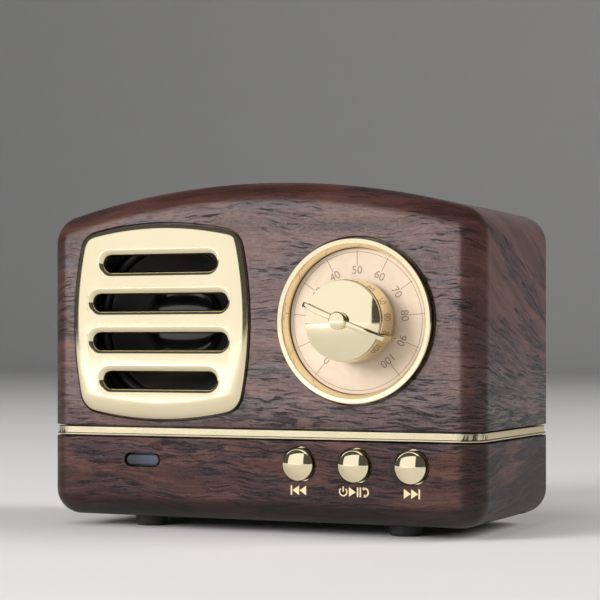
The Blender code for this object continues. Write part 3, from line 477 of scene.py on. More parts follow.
# Lower cabinet: the tray under the gilt band, in the same film. Its front holds the indicator window and
# the three button holes, its rear the socket openings, and its underside the seats of the feet and the
# four case screws.
tray_top = tray_high.z
screw_boss, screw_head, screw_hole, foot_seat = 3.2 * MM, 2.4 * MM, 1.3 * MM, 3.5 * MM
button_hole, window_hole = 3.3 * MM, (7.7 * MM, 2.7 * MM)
button_xs = {name: centre_of(f"button_{name}")[0] for name in ("previous", "play", "next")}
button_z = centre_of("button_play")[1]
window_low, window_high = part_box("indicator_window")
window_centre = centre_of("indicator_window")


def pill(length, height, centre, fine=10):
    """Outline of a slot with half-round ends, as points in X and Z."""
    reach = (length - height) / 2
    points = round_points((centre[0] + reach, centre[1]), height / 2, -90, 90, fine)
    return points + round_points((centre[0] - reach, centre[1]), height / 2, 90, 270, fine)


def rounded(centre, width, height, corner, fine=6):
    """Rounded rectangle, as points in X and Z."""
    points = []
    for quarter, (u, v) in enumerate(quadrants):
        knuckle = (centre[0] + u * (width / 2 - corner), centre[1] + v * (height / 2 - corner))
        points += round_points(knuckle, corner, 90 * quarter, 90 * quarter + 90, fine)
    return points


lower_cabinet = mesh_piece("lower_cabinet_tray", cabinet_blank(0, front, rear, edge_round, 4), film)
cut(lower_cabinet, block((-far, -far, tray_top), (far, far, far)))
cavity = cabinet_blank(tray_wall, front + tray_wall, rear - tray_wall, edge_round - tray_wall, 2)
cut(lower_cabinet, cavity)
floor_top = underside + tray_wall
boss_top = underside + 5.8 * MM
for x, y in post_places:
    join(lower_cabinet, rod(screw_boss, floor_top - MM, boss_top, (x, y), 24))
    cut(lower_cabinet, rod(screw_head, 0, boss_top - 2 * MM, (x, y), 32))
    cut(lower_cabinet, rod(screw_hole, 0, boss_top + MM, (x, y), 16))
for x, y in [centre_of(f"foot_{corner}", "xy") for corner in four_corners]:
    cut(lower_cabinet, rod(foot_seat, 0, underside + 0.6 * MM, (x, y), 48))
for x in button_xs.values():
    hole = rod(button_hole, front - MM, through, (x, button_z), 64, "Y")
    cut(lower_cabinet, hole)
window_cut = slab(pill(*window_hole, window_centre), front - MM, through)
cut(lower_cabinet, window_cut)
for node, width, height, corner in (
    ("usb_socket", 8.6, 3.8, 1.0),
    ("audio_jack", 6.2, 6.2, 3.09),
    ("card_slot", 12.8, 1.8, 0.4),
    ("microphone", 1.2, 1.2, 0.59),
):
    opening = rounded(centre_of(node), width * MM, height * MM, corner * MM, 5)
    cut(lower_cabinet, slab(opening, rear - 3 * MM, rear + MM))
ease_edges(lower_cabinet, seam_edge)
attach(lower_cabinet, "cabinet")
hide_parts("lower_cabinet")


# Trim band: a gilt strip caught between shell and tray all the way round, a little behind the film's
# surface, with a thin lip along its lower edge that catches the light.
def gilt_finish(name, roughness, ripple, painted_shade=1.0):
    """Pale gold plating over polished plastic: mirror-like, with a slow ripple and faint smears; its last
    argument darkens the colour as painted shade.
    """
    made, shader, place = new_finish(name, Metallic=1.0, Specular_Tint=(1.0, 0.96, 0.86, 1))
    tones = (0.90, 0.795, 0.565), (0.865, 0.755, 0.505)
    # a factor below 1 makes a darker copy of the same plating: painted shade
    pale, deep = [(*(channel * painted_shade for channel in tone), 1) for tone in tones]
    smears = place.noise(0.45, 3.0, (1, 1, 2.5))
    dust = place.noise(9.0, 1.0)
    feed(
        shader,
        Base_Color=place.noise(0.08, 1.0).mixed(pale, deep),
        Roughness=roughness + smears.spread(0.45, 0.75) * 0.05 + dust.spread(0.62, 0.8) * 0.06,
        Normal=place.noise(ripple, 1.0).bump(0.10, 0.02 * MM),
    )
    return made


gilt = gilt_finish("gilt_plating", 0.09, 0.35)
band_low, band_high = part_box("trim_band")
band_step = 0.35 * MM
band = hoop(band_step, tray_wall - band_step, band_low.z + band_step - 0.1 * MM, band_high.z)
# The band's plating is the same gilt darkened to 0.78: painted shade.
trim_band = mesh_piece("trim_band_gilt", band, gilt_finish("gilt_band_painted_shade", 0.14, 0.35, 0.78))
lip = hoop(0.05 * MM, 1.15 * MM, band_low.z, band_low.z + band_step)
join(trim_band, lip)
ease_edges(trim_band, 0.08 * MM)
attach(trim_band, "cabinet")
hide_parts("trim_band")


# Grille plate: gilt moulding lying in its seat, crowned round its rim, with four slots whose mouths flare
# forward.
slot_pitch, slot_height = 7.4 * MM, 3.0 * MM
slot_lengths = (23.9 * MM, 28.5 * MM, 28.5 * MM, 23.9 * MM)
mouth_flare = 1.3 * MM
rim_width, rim_drop = 3.2 * MM, 0.9 * MM
grille_front, grille_back = grille_low.y, grille_high.y
throat_y = grille_front + 1.2 * MM


def stack_loops(work, loops):
    """Skins one outline to the next and returns the last loop's edges."""
    made = [loop_at(work, points, y) for points, y in loops]
    for first, second in zip(made, made[1:]):
        bmesh.ops.bridge_loops(work, edges=first + second)
    return made[0], made[-1]


def make_grille():
    work = bmesh.new()
    rim = [(grille_outline(0.25 * MM), grille_back), (grille_outline(0), grille_back - 0.25 * MM)]
    for step in range(9):
        turn = math.radians(90 * step / 8)
        inset = rim_width * (1 - math.cos(turn))
        rim.append((grille_outline(inset), grille_front + rim_drop * (1 - math.sin(turn))))
    back_edges, front_edges = stack_loops(work, rim)
    fronts, backs = list(front_edges), list(back_edges)
    for row, length in enumerate(slot_lengths):
        centre = (grille_x, grille_z + (1.5 - row) * slot_pitch)
        funnel = [(pill(length, slot_height, centre), grille_back)]
        for step in range(9):
            turn = math.radians(90 * step / 8)
            grow = 2 * mouth_flare * (1 - math.cos(turn))
            y = throat_y - (throat_y - grille_front) * math.sin(turn)
            funnel.append((pill(length + grow, slot_height + grow, centre), y))
        back_loop, front_loop = stack_loops(work, funnel)
        fronts += front_loop
        backs += back_loop
    bmesh.ops.triangle_fill(work, use_beauty=True, use_dissolve=False, edges=fronts)
    bmesh.ops.triangle_fill(work, use_beauty=True, use_dissolve=False, edges=backs)
    bmesh.ops.remove_doubles(work, verts=work.verts, dist=0.001 * MM)
    bmesh.ops.recalc_face_normals(work, faces=work.faces)
    return work


grille = mesh_piece("grille_plate_gilt", make_grille(), gilt, 50)
keep_flats(grille)
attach(grille, "cabinet")
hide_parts("grille_plate")


# Dial ring: a turned-looking gilt bezel in its seat, with a flat bright rim and a bevelled inner wall.
def turned(name, profile, centre, finish, steps=96, smooth=40, upright=False):
    """A turned piece. The profile gives radius and distance before the front face, or radius and height."""
    work = bmesh.new()
    if upright:
        verts = [work.verts.new((centre[0] + r, centre[1], z)) for r, z in profile]
        on_axis, axis = (centre[0], centre[1], 0), (0, 0, 1)
    else:
        verts = [work.verts.new((centre[0] + r, front - ahead, centre[1])) for r, ahead in profile]
        on_axis, axis = (centre[0], 0, centre[1]), (0, 1, 0)
    for pair in zip(verts, verts[1:] + verts[:1]):
        if not all(abs(v.co.x - centre[0]) < 0.001 * MM for v in pair):
            work.edges.new(pair)
    bmesh.ops.spin(
        work,
        geom=work.verts[:] + work.edges[:],
        cent=on_axis,
        axis=axis,
        angle=math.tau,
        steps=steps,
        use_merge=True,
    )
    bmesh.ops.remove_doubles(work, verts=work.verts, dist=0.001 * MM)
    bmesh.ops.recalc_face_normals(work, faces=work.faces)
    return keep_flats(mesh_piece(name, work, finish, smooth))


ring_ahead = front - ring_low.y
ring_back = front - ring_high.y
rim_inner = 13.98 * MM
round_edge = 0.22 * MM
ring_profile = [
    (ring_inner, ring_back),
    (ring_inner, 0.25 * MM),
    *round_points((rim_inner + 0.12 * MM, ring_ahead - 0.12 * MM), 0.12 * MM, 150, 90, 3),
    *round_points((ring_radius - round_edge, ring_ahead - round_edge), round_edge, 90, 0),
    (ring_radius, ring_back),
]
dial_ring = turned("dial_ring_gilt", ring_profile, dial_centre, gilt, 128)
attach(dial_ring, "cabinet")
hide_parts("dial_ring")


# Dial plate: a satin beige disc under the ring, printed with a fine circle, eleven ticks and the numbers
# 0 to 100.
def printed_plate():
    """Warm beige lacquer with a faint radial brushing."""
    made, shader, place = new_finish("dial_lacquer", IOR=1.45)
    mottle = place.noise(0.5, 3.0)
    fine = place.noise(7.0, 2.0)
    feed(
        shader,
        Base_Color=mottle.spread(0.3, 0.7).mixed((0.76, 0.60, 0.455, 1), (0.80, 0.65, 0.505, 1)),
        Roughness=0.40 + 0.10 * fine,
        Normal=fine.bump(0.12, 0.01 * MM),
    )
    return made


def printing_ink(name, colour, patchy):
    """Screen-printed ink, a little uneven."""
    made, shader, place = new_finish(name, IOR=1.45)
    uneven = place.noise(6.0, 2.0)
    lighter = [min(1.0, c * patchy) for c in colour]
    feed(
        shader,
        Base_Color=uneven.mixed((*colour, 1), (*lighter, 1)),
        Roughness=0.42 + 0.12 * uneven,
    )
    return made


plate_low, plate_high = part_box("dial_plate")
plate_radius = (plate_high.x - plate_low.x) / 2 + 0.22 * MM
plate_front, plate_back = front - plate_low.y, front - plate_high.y
plate_profile = [
    (bushing_hole, plate_back),
    (bushing_hole, plate_front),
    (plate_radius - 0.08 * MM, plate_front),
    (plate_radius, plate_front - 0.08 * MM),
    (plate_radius, plate_back),
]
dial_plate = turned("dial_plate_printed", plate_profile, dial_centre, printed_plate(), 96)
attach(dial_plate, "cabinet")
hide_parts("dial_plate")

ink = printing_ink("dial_ink", (0.30, 0.205, 0.155), 1.35)
ink_thick = 0.02 * MM
tick_inner, tick_outer, tick_width = 10.1 * MM, 12.9 * MM, 0.12 * MM
circle_radius = 12.6 * MM
number_radius, number_size = 9.25 * MM, 2.1 * MM
tick_angle = 28.0
marks = bmesh.new()


def add_to(work, part):
    """Adds a working mesh to another."""
    mesh = bpy.data.meshes.new("part")
    part.to_mesh(mesh)
    part.free()
    work.from_mesh(mesh)
    bpy.data.meshes.remove(mesh)


def typed(text, size, thick):
    """Raised print of a text, centred, facing the front, as a working mesh."""
    curve = bpy.data.curves.new("text", "FONT")
    curve.body = text
    curve.size = size / MM
    curve.align_x = "CENTER"
    curve.align_y = "CENTER"
    curve.resolution_u = 4
    curve.extrude = thick / MM / 2
    holder = bpy.data.objects.new("text", curve)
    bpy.context.scene.collection.objects.link(holder)
    graph = bpy.context.evaluated_depsgraph_get()
    mesh = bpy.data.meshes.new_from_object(holder.evaluated_get(graph))
    bpy.data.objects.remove(holder)
    mesh.transform(Matrix.Rotation(math.radians(90), 4, "X") @ Matrix.Scale(MM, 4))
    work = bmesh.new()
    work.from_mesh(mesh)
    bmesh.ops.remove_doubles(work, verts=work.verts, dist=0.0005 * MM)
    bpy.data.meshes.remove(mesh)
    return work


for step in range(11):
    clockwise = tick_angle * (step - 5)
    turn = Matrix.Translation((dial_x, 0, dial_z)) @ Matrix.Rotation(math.radians(clockwise), 4, "Y")
    tick = block(
        (-tick_width / 2, plate_low.y - ink_thick, tick_inner),
        (tick_width / 2, plate_low.y - 0.002 * MM, tick_outer),
    )
    number = typed(str(10 * step), number_size, ink_thick)
    number_y = plate_low.y - ink_thick / 2 - 0.002 * MM
    bmesh.ops.translate(number, vec=(0, number_y, number_radius), verts=number.verts)
    for part in (tick, number):
        bmesh.ops.transform(part, matrix=turn, verts=part.verts)
        add_to(marks, part)
dial_marks = mesh_piece("dial_scale_print", marks, ink)
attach(dial_marks, "cabinet")
scale_circle = turned(
    "dial_scale_circle",
    [
        (circle_radius - 0.05 * MM, plate_front + 0.002 * MM),
        (circle_radius - 0.05 * MM, plate_front + ink_thick),
        (circle_radius + 0.05 * MM, plate_front + ink_thick),
        (circle_radius + 0.05 * MM, plate_front + 0.002 * MM),
    ],
    dial_centre,
    ink,
)
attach(scale_circle, "cabinet")


# Knob: a gilt cup on the control's shaft, with a domed cap set in its front and a pointer bar that runs
# across the cap under a round boss, over the rim and down the side to the scale.
def mottled(name, first, second, scale, rough, depth, **constants):
    """Moulded or rolled stuff: two near tones in soft patches, with a fine tooth in its surface."""
    made, shader, place = new_finish(name, **constants)
    broad = place.noise(scale, 3.0)
    fine = place.noise(scale * 8, 2.0)
    feed(
        shader,
        Base_Color=broad.spread(0.3, 0.7).mixed((*first, 1), (*second, 1)),
        Roughness=rough[0] + (rough[1] - rough[0]) * fine,
        Normal=(fine * 0.7 + broad * 0.3).bump(0.5, depth),
    )
    return made


black_plastic = mottled(
    "black_plastic", (0.014, 0.014, 0.015), (0.026, 0.026, 0.027), 1.3, (0.38, 0.55), 0.03 * MM
)
knob_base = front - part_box("knob_body")[1].y
knob_radius, knob_foot = 7.4 * MM, 7.6 * MM
cap_low, cap_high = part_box("knob_cap")
cap_crown = front - cap_low.y
cap_back = front - cap_high.y
cap_radius = (cap_high.x - cap_low.x) / 2
pointer_turn = math.radians(112.0 - 90.0)
polished = gilt_finish("gilt_polished", 0.045, 0.25)
cup = [
    (0, 5.6 * MM),
    *round_points((knob_radius - 0.15 * MM, 5.45 * MM), 0.15 * MM, 90, 0, 4),
    (knob_foot, knob_base + 0.25 * MM),
    (knob_foot - 0.15 * MM, knob_base),
    (6.3 * MM, knob_base),
    (6.3 * MM, 3.4 * MM),
    (3.2 * MM, 3.4 * MM),
    (3.2 * MM, 2.7 * MM),
    (1.8 * MM, 2.7 * MM),
    (1.8 * MM, 5.0 * MM),
    (0, 5.0 * MM),
]
knob_body = turned("knob_cup", cup, dial_centre, polished, 128)
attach(knob_body, "knob")
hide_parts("knob_body")
# Black plastic core behind the cap; it also fills the slit between cap and cup so that the slit shows dark:
# painted shade.
core_radius, core_front, core_back = 6.9 * MM, cap_back - 0.04 * MM, 5.64 * MM
core_profile = [(0, core_front), (core_radius, core_front), (core_radius, core_back), (0, core_back)]
knob_core_shade_disc = turned("knob_core_shade_disc", core_profile, dial_centre, black_plastic, 96)
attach(knob_core_shade_disc, "knob")
cap_edge = 6.45 * MM
dome_radius = (cap_radius**2 + (cap_crown - cap_edge) ** 2) / 2 / (cap_crown - cap_edge)
dome_sweep = math.degrees(math.asin(cap_radius / dome_radius))
dome = round_points((0, cap_crown - dome_radius), dome_radius, 90, 90 - dome_sweep * 0.99, 24)
dome[0] = (0, cap_crown)
cap = dome + [(cap_radius, cap_edge - 0.15 * MM), (cap_radius, cap_back), (0, cap_back)]
knob_cap = turned("knob_cap_domed", cap, dial_centre, polished, 128)
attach(knob_cap, "knob")
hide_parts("knob_cap")


def make_pointer():
    """The bar follows the cap's dome a hair above it; its leg goes down the knob's side."""
    over, under = dome_radius + 0.75 * MM, dome_radius + 0.2 * MM
    leg_in, leg_out = knob_foot + 0.3 * MM, knob_foot + 1.1 * MM
    centre = (0, cap_crown - dome_radius)
    lean_out = math.degrees(math.asin(leg_out / over))
    lean_in = math.degrees(math.asin(leg_in / under))
    outline = round_points(centre, over, 90 - lean_out, 90 + lean_in, 32)
    outline += round_points(centre, under, 90 + lean_in, 90 - lean_in, 32)
    outline += [(leg_in, knob_base + 0.2 * MM), (leg_out, knob_base + 0.2 * MM)]
    half = 0.5 * MM
    work = slab(outline, -half, half)
    # the outline is drawn lying in X and Z with Z to the front, so it is stood up and then turned to its mark
    stand = Matrix.Rotation(math.radians(90), 4, "X")
    turn = Matrix.Rotation(pointer_turn, 4, "Y")
    place = Matrix.Translation((dial_x, front, dial_z))
    bmesh.ops.transform(work, matrix=place @ turn @ stand, verts=work.verts)
    return work


pointer = mesh_piece("pointer_bar_gilt", make_pointer(), polished)
boss_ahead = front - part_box("pointer_bar")[0].y
boss_radius = 1.6 * MM
boss_profile = [
    (0, cap_crown + 0.3 * MM),
    (boss_radius, cap_crown + 0.3 * MM),
    *round_points((boss_radius - 0.25 * MM, boss_ahead - 0.3 * MM), 0.25 * MM, 0, 80, 4),
    (0, boss_ahead),
]
boss = turned("boss", boss_profile, dial_centre, polished, 64)
working = bmesh.new()
working.from_mesh(boss.data)
bpy.data.objects.remove(boss)
join(pointer, working)
ease_edges(pointer, 0.09 * MM, 2, 55)
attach(pointer, "knob")
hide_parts("pointer_bar")


# Buttons: three polished gilt domes that press straight in, each with a flange behind the tray's wall.
button_radius, flange_radius, stem_radius = 3.0 * MM, 3.75 * MM, 1.0 * MM
button_rise, button_edge = 0.9 * MM, 0.7 * MM
flange, flange_back = -tray_wall - 0.3 * MM, -tray_wall - 1.1 * MM
button_dome = (button_radius**2 + button_rise**2) / 2 / button_rise
sweep = math.degrees(math.asin((button_radius - 0.25 * MM) / button_dome))
dome = round_points((0, button_edge + button_rise - button_dome), button_dome, 90, 90 - sweep, 14)
dome[0] = (0, button_edge + button_rise)
for name, x in button_xs.items():
    stem_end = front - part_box(f"button_{name}")[1].y
    profile = dome + [
        *round_points((button_radius - 0.3 * MM, dome[-1][1] - 0.28 * MM), 0.3 * MM, 60, 0, 4),
        (button_radius, flange),
        (flange_radius, flange),
        (flange_radius, flange_back),
        (stem_radius, flange_back),
        (stem_radius, stem_end),
        (0, stem_end),
    ]
    button = turned(f"button_{name}_dome", profile, (x, button_z), polished, 96)
    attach(button, f"{name}_button")
    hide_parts(f"button_{name}")


# Button symbols: track back, power with play and pause and hands-free, and track forward, printed in gold
# ink under the buttons.
gold_ink = printing_ink("gold_ink", (0.70, 0.57, 0.34), 1.25)
symbol_z = button_z - 4.75 * MM
symbol_height = 1.75 * MM
symbols = bmesh.new()
print_low, print_high = front - ink_thick, front - 0.002 * MM


def add_wedge(x, way):
    """Triangle that points left or right, from x on."""
    half = symbol_height / 2
    points = [(x, symbol_z - half), (x, symbol_z + half), (x + way * 1.35 * MM, symbol_z)]
    add_to(symbols, slab(points, print_low, print_high))


def add_stroke(x, width=0.3 * MM, low=-0.5, high=0.5):
    """Upright stroke, its ends in parts of the symbols' height."""
    ends = (symbol_z + low * symbol_height, symbol_z + high * symbol_height)
    add_to(symbols, block((x - width / 2, print_low, ends[0]), (x + width / 2, print_high, ends[1])))


def add_arc(centre, radius, width, start, end):
    """Part of a printed ring."""
    outer = round_points(centre, radius + width / 2, start, end, 20)
    inner = round_points(centre, radius - width / 2, end, start, 20)
    add_to(symbols, slab(outer + inner, print_low, print_high))


previous_x, play_x, next_x = button_xs["previous"], button_xs["play"], button_xs["next"]
for way, x in ((-1, previous_x), (1, next_x)):
    add_wedge(x - way * 1.45 * MM, way)
    add_wedge(x - way * 0.05 * MM, way)
    add_stroke(x + way * 1.5 * MM)
add_arc((play_x - 2.2 * MM, symbol_z), 0.72 * MM, 0.24 * MM, 130, 410)
add_stroke(play_x - 2.2 * MM, 0.24 * MM, 0.0, 0.55)
add_wedge(play_x - 1.1 * MM, 1)
add_stroke(play_x + 0.62 * MM)
add_stroke(play_x + 1.15 * MM)
handset = (play_x + 1.95 * MM, symbol_z)
add_arc(handset, 0.74 * MM, 0.3 * MM, -80, 100)
for turn in (-80, 100):
    end = round_points(handset, 0.68 * MM, turn, turn + 1, 1)[0]
    add_arc(end, 0.14 * MM, 0.26 * MM, 0, 350)
button_symbols = mesh_piece("button_symbols", symbols, gold_ink)
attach(button_symbols, "cabinet")


# Indicator window: a smoked glossy lens clipped into the tray's front over a small lamp.
def smoked_lens():
    """Blue-grey tinted plastic, darker towards its left end, clear-coated."""
    made, shader, place = new_finish("smoked_lens", IOR=1.5, Coat_Weight=0.3, Coat_Roughness=0.03)
    along = place.split()[0]
    cloud = place.noise(0.8, 2.0)
    tone = along.spread(window_low.x, window_high.x) + (cloud - 0.5) * 0.3
    feed(
        shader,
        Base_Color=tone.mixed((0.008, 0.010, 0.017, 1), (0.055, 0.066, 0.100, 1)),
        Roughness=0.16 + 0.10 * cloud,
        Normal=cloud.bump(0.05, 0.02 * MM),
    )
    return made


lens_front = window_low.y
lens_back = window_high.y
flange_depth = 0.7 * MM
window_piece = bmesh.new()
lens_loops = [
    (pill(8.9 * MM, 3.9 * MM, window_centre), lens_back),
    (pill(9.1 * MM, 4.1 * MM, window_centre), lens_back - 0.1 * MM),
    (pill(9.1 * MM, 4.1 * MM, window_centre), lens_back - flange_depth),
    (pill(7.1 * MM, 2.1 * MM, window_centre), lens_back - flange_depth),
]
for step in range(7):
    turn = math.radians(90 * step / 6)
    shrink = 0.9 * MM * (1 - math.cos(turn))
    y = lens_front + 0.35 * MM * (1 - math.sin(turn))
    lens_loops.append((pill(7.1 * MM - shrink, 2.1 * MM - shrink, window_centre), y))
back_loop, front_loop = stack_loops(window_piece, lens_loops)
bmesh.ops.contextual_create(window_piece, geom=back_loop)
bmesh.ops.contextual_create(window_piece, geom=front_loop)
bmesh.ops.recalc_face_normals(window_piece, faces=window_piece.faces)
indicator = mesh_piece("indicator_lens", window_piece, smoked_lens())
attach(indicator, "cabinet")
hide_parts("indicator_window")


def finish_nodes(finish, *nodes):
    """Gives the frame's own pieces their finish."""
    for node in nodes:
        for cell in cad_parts[node].material_slots:
            cell.material = finish


led_white = mottled("led_epoxy", (0.80, 0.80, 0.74), (0.88, 0.87, 0.80), 0.6, (0.18, 0.32), 0.01 * MM)
finish_nodes(led_white, "indicator_led")


# Feet: four moulded rubber buttons glued into shallow seats under the tray, dished a little where they
# stand.
rubber = mottled(
    "foot_rubber", (0.012, 0.012, 0.013), (0.022, 0.021, 0.021), 0.9, (0.42, 0.62), 0.03 * MM, IOR=1.5
)
for corner in four_corners:
    low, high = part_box(f"foot_{corner}")
    radius = (high.x - low.x) / 2
    profile = [
        (0, high.z),
        (radius - 0.4 * MM, high.z),
        (radius, high.z - 0.4 * MM),
        (radius, 0.75 * MM),
        *round_points((radius - 0.7 * MM, 0.7 * MM), 0.7 * MM, 0, -90),
        (radius - 1.0 * MM, 0),
        (radius - 1.4 * MM, 0.15 * MM),
        (0, 0.15 * MM),
    ]
    place = centre_of(f"foot_{corner}", "xy")
    foot = turned(f"foot_{corner}_rubber", profile, place, rubber, 64, upright=True)
    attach(foot, "cabinet")
    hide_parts(f"foot_{corner}")


# Case screws: four nickelled pan-head screws with cross recesses, sunk in the tray's counterbores.
def nickel():
    """Nickel plate with fine turning marks and small stains."""
    made, shader, place = new_finish("nickel", Metallic=1.0)
    stains = place.noise(0.8, 3.0)
    marks = place.noise(3.0, 2.0, (1, 1, 6))
    feed(
        shader,
        Base_Color=stains.spread(0.4, 0.75).mixed((0.60, 0.59, 0.57, 1), (0.44, 0.42, 0.40, 1)),
        Roughness=0.22 + 0.18 * marks + 0.10 * stains,
        Normal=marks.bump(0.2, 0.01 * MM),
    )
    return made


nickel_plate = nickel()
for corner in four_corners:
    low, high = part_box(f"case_screw_{corner}")
    middle = centre_of(f"case_screw_{corner}", "xy")
    seat = low.z + 1.5 * MM
    profile = [
        (0, high.z),
        (0.55 * MM, high.z - 0.5 * MM),
        (0.9 * MM, high.z - 1.2 * MM),
    ]
    turns = int((high.z - 1.4 * MM - seat) / (0.9 * MM))
    for turn in range(turns):
        crest = high.z - 1.4 * MM - 0.9 * MM * turn
        profile += [(0.9 * MM, crest), (0.72 * MM, crest - 0.3 * MM), (0.72 * MM, crest - 0.6 * MM)]
    profile += [
        (0.9 * MM, seat),
        (1.95 * MM, seat),
        (2.0 * MM, seat - 0.05 * MM),
        (2.0 * MM, seat - 0.9 * MM),
        *round_points((1.5 * MM, seat - 1.0 * MM), 0.5 * MM, 0, -80, 5),
        (0, low.z),
    ]
    screw = turned(f"case_screw_{corner}_nickel", profile, middle, nickel_plate, 32, upright=True)
    for across, along in ((1.15 * MM, 0.22 * MM), (0.22 * MM, 1.15 * MM)):
        arm = block(
            (middle[0] - across, middle[1] - along, low.z - MM),
            (middle[0] + across, middle[1] + along, low.z + 0.8 * MM),
        )
        cut(screw, arm)
    ease_edges(screw, 0.04 * MM, 1)
    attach(screw, "cabinet")
    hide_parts(f"case_screw_{corner}")


# Driver: a pressed basket with a foam gasket, a black paper cone in a rolled rubber surround, and a
# glossy black dust cap. Its seat is behind the grille, which leaves cone and cap in sight through the
# slots.
driver_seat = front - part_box("speaker_basket")[0].y
driver_centre = (grille_x, grille_z)


def driver_piece(name, profile, finish, steps=96):
    """A turned piece of the driver, its profile given before the basket's flange."""
    return turned(name, [(r * MM, driver_seat + a * MM) for r, a in profile], driver_centre, finish, steps)


def cone_paper():
    """Black felted paper: short fibres and a soft sheen."""
    made, shader, place = new_finish("cone_paper", IOR=1.5, Coat_Roughness=0.25, Coat_Weight=0.3)
    fibres = place.noise(3.5, 3.0, (1, 0.4, 1), 0.65)
    cloud = place.noise(0.4, 2.0)
    feed(
        shader,
        Base_Color=fibres.mixed((0.008, 0.008, 0.009, 1), (0.030, 0.029, 0.030, 1)),
        Roughness=0.38 + 0.2 * cloud,
        Normal=fibres.bump(0.5, 0.05 * MM),
    )
    return made


paper = cone_paper()
cap_gloss = mottled(
    "dust_cap_lacquer",
    (0.006, 0.006, 0.007),
    (0.012, 0.012, 0.013),
    0.5,
    (0.10, 0.20),
    0.005 * MM,
    Coat_Weight=0.8,
    Coat_Roughness=0.06,
)
black_rubber = mottled(
    "surround_rubber", (0.010, 0.010, 0.011), (0.018, 0.018, 0.019), 0.8, (0.30, 0.46), 0.02 * MM
)
cone_wall = []
for step in range(13):
    part = step / 12
    radius = 13.9 - 7.6 * part
    cone_wall.append((radius, -0.75 - 5.15 * part - 0.35 * math.sin(math.pi * part)))
rib = [(14.2, -0.6), (14.2, -1.2)]
neck = [(6.3, -7.9), (5.8, -7.9), (5.8, -6.1)]  # clears the spider when the cone moves back
cone_back = [(radius, ahead - 0.55) for radius, ahead in cone_wall[1:]]
cone_profile = rib + cone_back + neck + list(reversed(cone_wall))
cone = driver_piece("cone_black_paper", cone_profile, paper)
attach(cone, "cone")
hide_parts("speaker_cone")
cap_rim, cap_rise = 8.2, 2.4
cap_turns = [math.radians(5 * step) for step in range(19)]
cap_over = [(cap_rim * math.sin(t), -4.3 + cap_rise * math.cos(t)) for t in cap_turns]
cap_under = [(radius * 0.94, ahead - 0.45) for radius, ahead in reversed(cap_over)]
cap_over[0], cap_under[-1] = (0, cap_over[0][1]), (0, cap_under[-1][1])
dust_cap = driver_piece("dust_cap_gloss", cap_over + cap_under, cap_gloss)
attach(dust_cap, "cone")
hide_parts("dust_cap")
roll_over = round_points((15.3, -0.3), 0.95, 180, 0, 16)
roll_under = round_points((15.3, -0.3), 0.6, 0, 180, 16)
surround = driver_piece("surround_roll", roll_over + roll_under, black_rubber)
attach(surround, "cabinet")
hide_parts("surround")

black_steel = mottled(
    "basket_enamel",
    (0.018, 0.018, 0.019),
    (0.030, 0.030, 0.031),
    0.7,
    (0.32, 0.48),
    0.02 * MM,
    Coat_Weight=0.3,
)
foam = mottled("gasket_foam", (0.016, 0.016, 0.017), (0.040, 0.040, 0.041), 2.2, (0.80, 0.95), 0.20 * MM)
ferrite = mottled(
    "magnet_ferrite", (0.045, 0.045, 0.048), (0.085, 0.083, 0.085), 1.1, (0.50, 0.72), 0.05 * MM
)
zinc = mottled(
    "zinc_plate", (0.46, 0.46, 0.47), (0.60, 0.60, 0.58), 0.9, (0.24, 0.42), 0.02 * MM, Metallic=1.0
)
copper = mottled(
    "coil_copper", (0.62, 0.25, 0.11), (0.78, 0.36, 0.18), 1.6, (0.22, 0.38), 0.03 * MM, Metallic=1.0
)
spider_cloth = mottled(
    "spider_cloth", (0.52, 0.33, 0.12), (0.66, 0.45, 0.20), 2.6, (0.62, 0.82), 0.08 * MM
)
finish_nodes(black_steel, "speaker_basket")
finish_nodes(foam, "speaker_gasket")
finish_nodes(ferrite, "speaker_magnet")
finish_nodes(zinc, "magnet_top_plate", "magnet_yoke")
finish_nodes(nickel_plate, *(f"speaker_screw_{number}" for number in range(1, 5)))
finish_nodes(copper, "voice_coil")
finish_nodes(spider_cloth, "spider")


# Volume control: a panel potentiometer behind the dial, its bushing and nut holding it in the shell's
# front, and the knurled shaft that carries the knob.
phenolic = mottled(
    "control_phenolic", (0.10, 0.055, 0.028), (0.16, 0.090, 0.048), 1.8, (0.38, 0.55), 0.04 * MM
)
brass = mottled(
    "control_brass", (0.66, 0.50, 0.24), (0.74, 0.58, 0.31), 1.0, (0.22, 0.36), 0.02 * MM, Metallic=1.0
)
finish_nodes(zinc, "control_nut")
finish_nodes(brass, "control_bushing", "knob_shaft")
finish_nodes(phenolic, "volume_control")


# Circuit boards: green solder resist over copper tracks, on glass-fibre laminate, with the switches, the
# header, the wireless module and the amplifier chip soldered on.
def board_finish():
    """Solder resist with raised tracks and tinned pads."""
    made, shader, place = new_finish("circuit_board", IOR=1.5, Coat_Weight=0.4, Coat_Roughness=0.15)
    cells = {"distance": "MANHATTAN", "feature": "F1"}
    scaled = place.node("ShaderNodeMapping", {}, {"Vector": place, "Scale": [1 / MM] * 3})
    near = place.node("ShaderNodeTexVoronoi", cells, {"Vector": scaled, "Scale": 0.42, "Randomness": 0.55})
    track = near.math("PINGPONG", near * 6.0, 1.0).spread(0.55, 0.70)
    pad = near.spread(0.10, 0.14, 1.0, 0.0)
    weave = place.noise(5.0, 1.0)
    resist = track.mixed((0.012, 0.085, 0.045, 1), (0.030, 0.150, 0.075, 1))
    feed(
        shader,
        Base_Color=pad.mixed(resist, (0.60, 0.59, 0.55, 1)),
        Roughness=0.28 + 0.12 * weave,
        Metallic=pad * 0.9,
        Normal=(track * 0.6 + weave * 0.1).bump(0.4, 0.04 * MM),
    )
    return made


finish_nodes(board_finish(), "main_board", "button_board")
finish_nodes(
    black_plastic,
    "link_header",
    "amplifier_chip",
    "microphone",
    *(f"tact_switch_{name}" for name in button_xs),
)
finish_nodes(nickel_plate, "wireless_module")


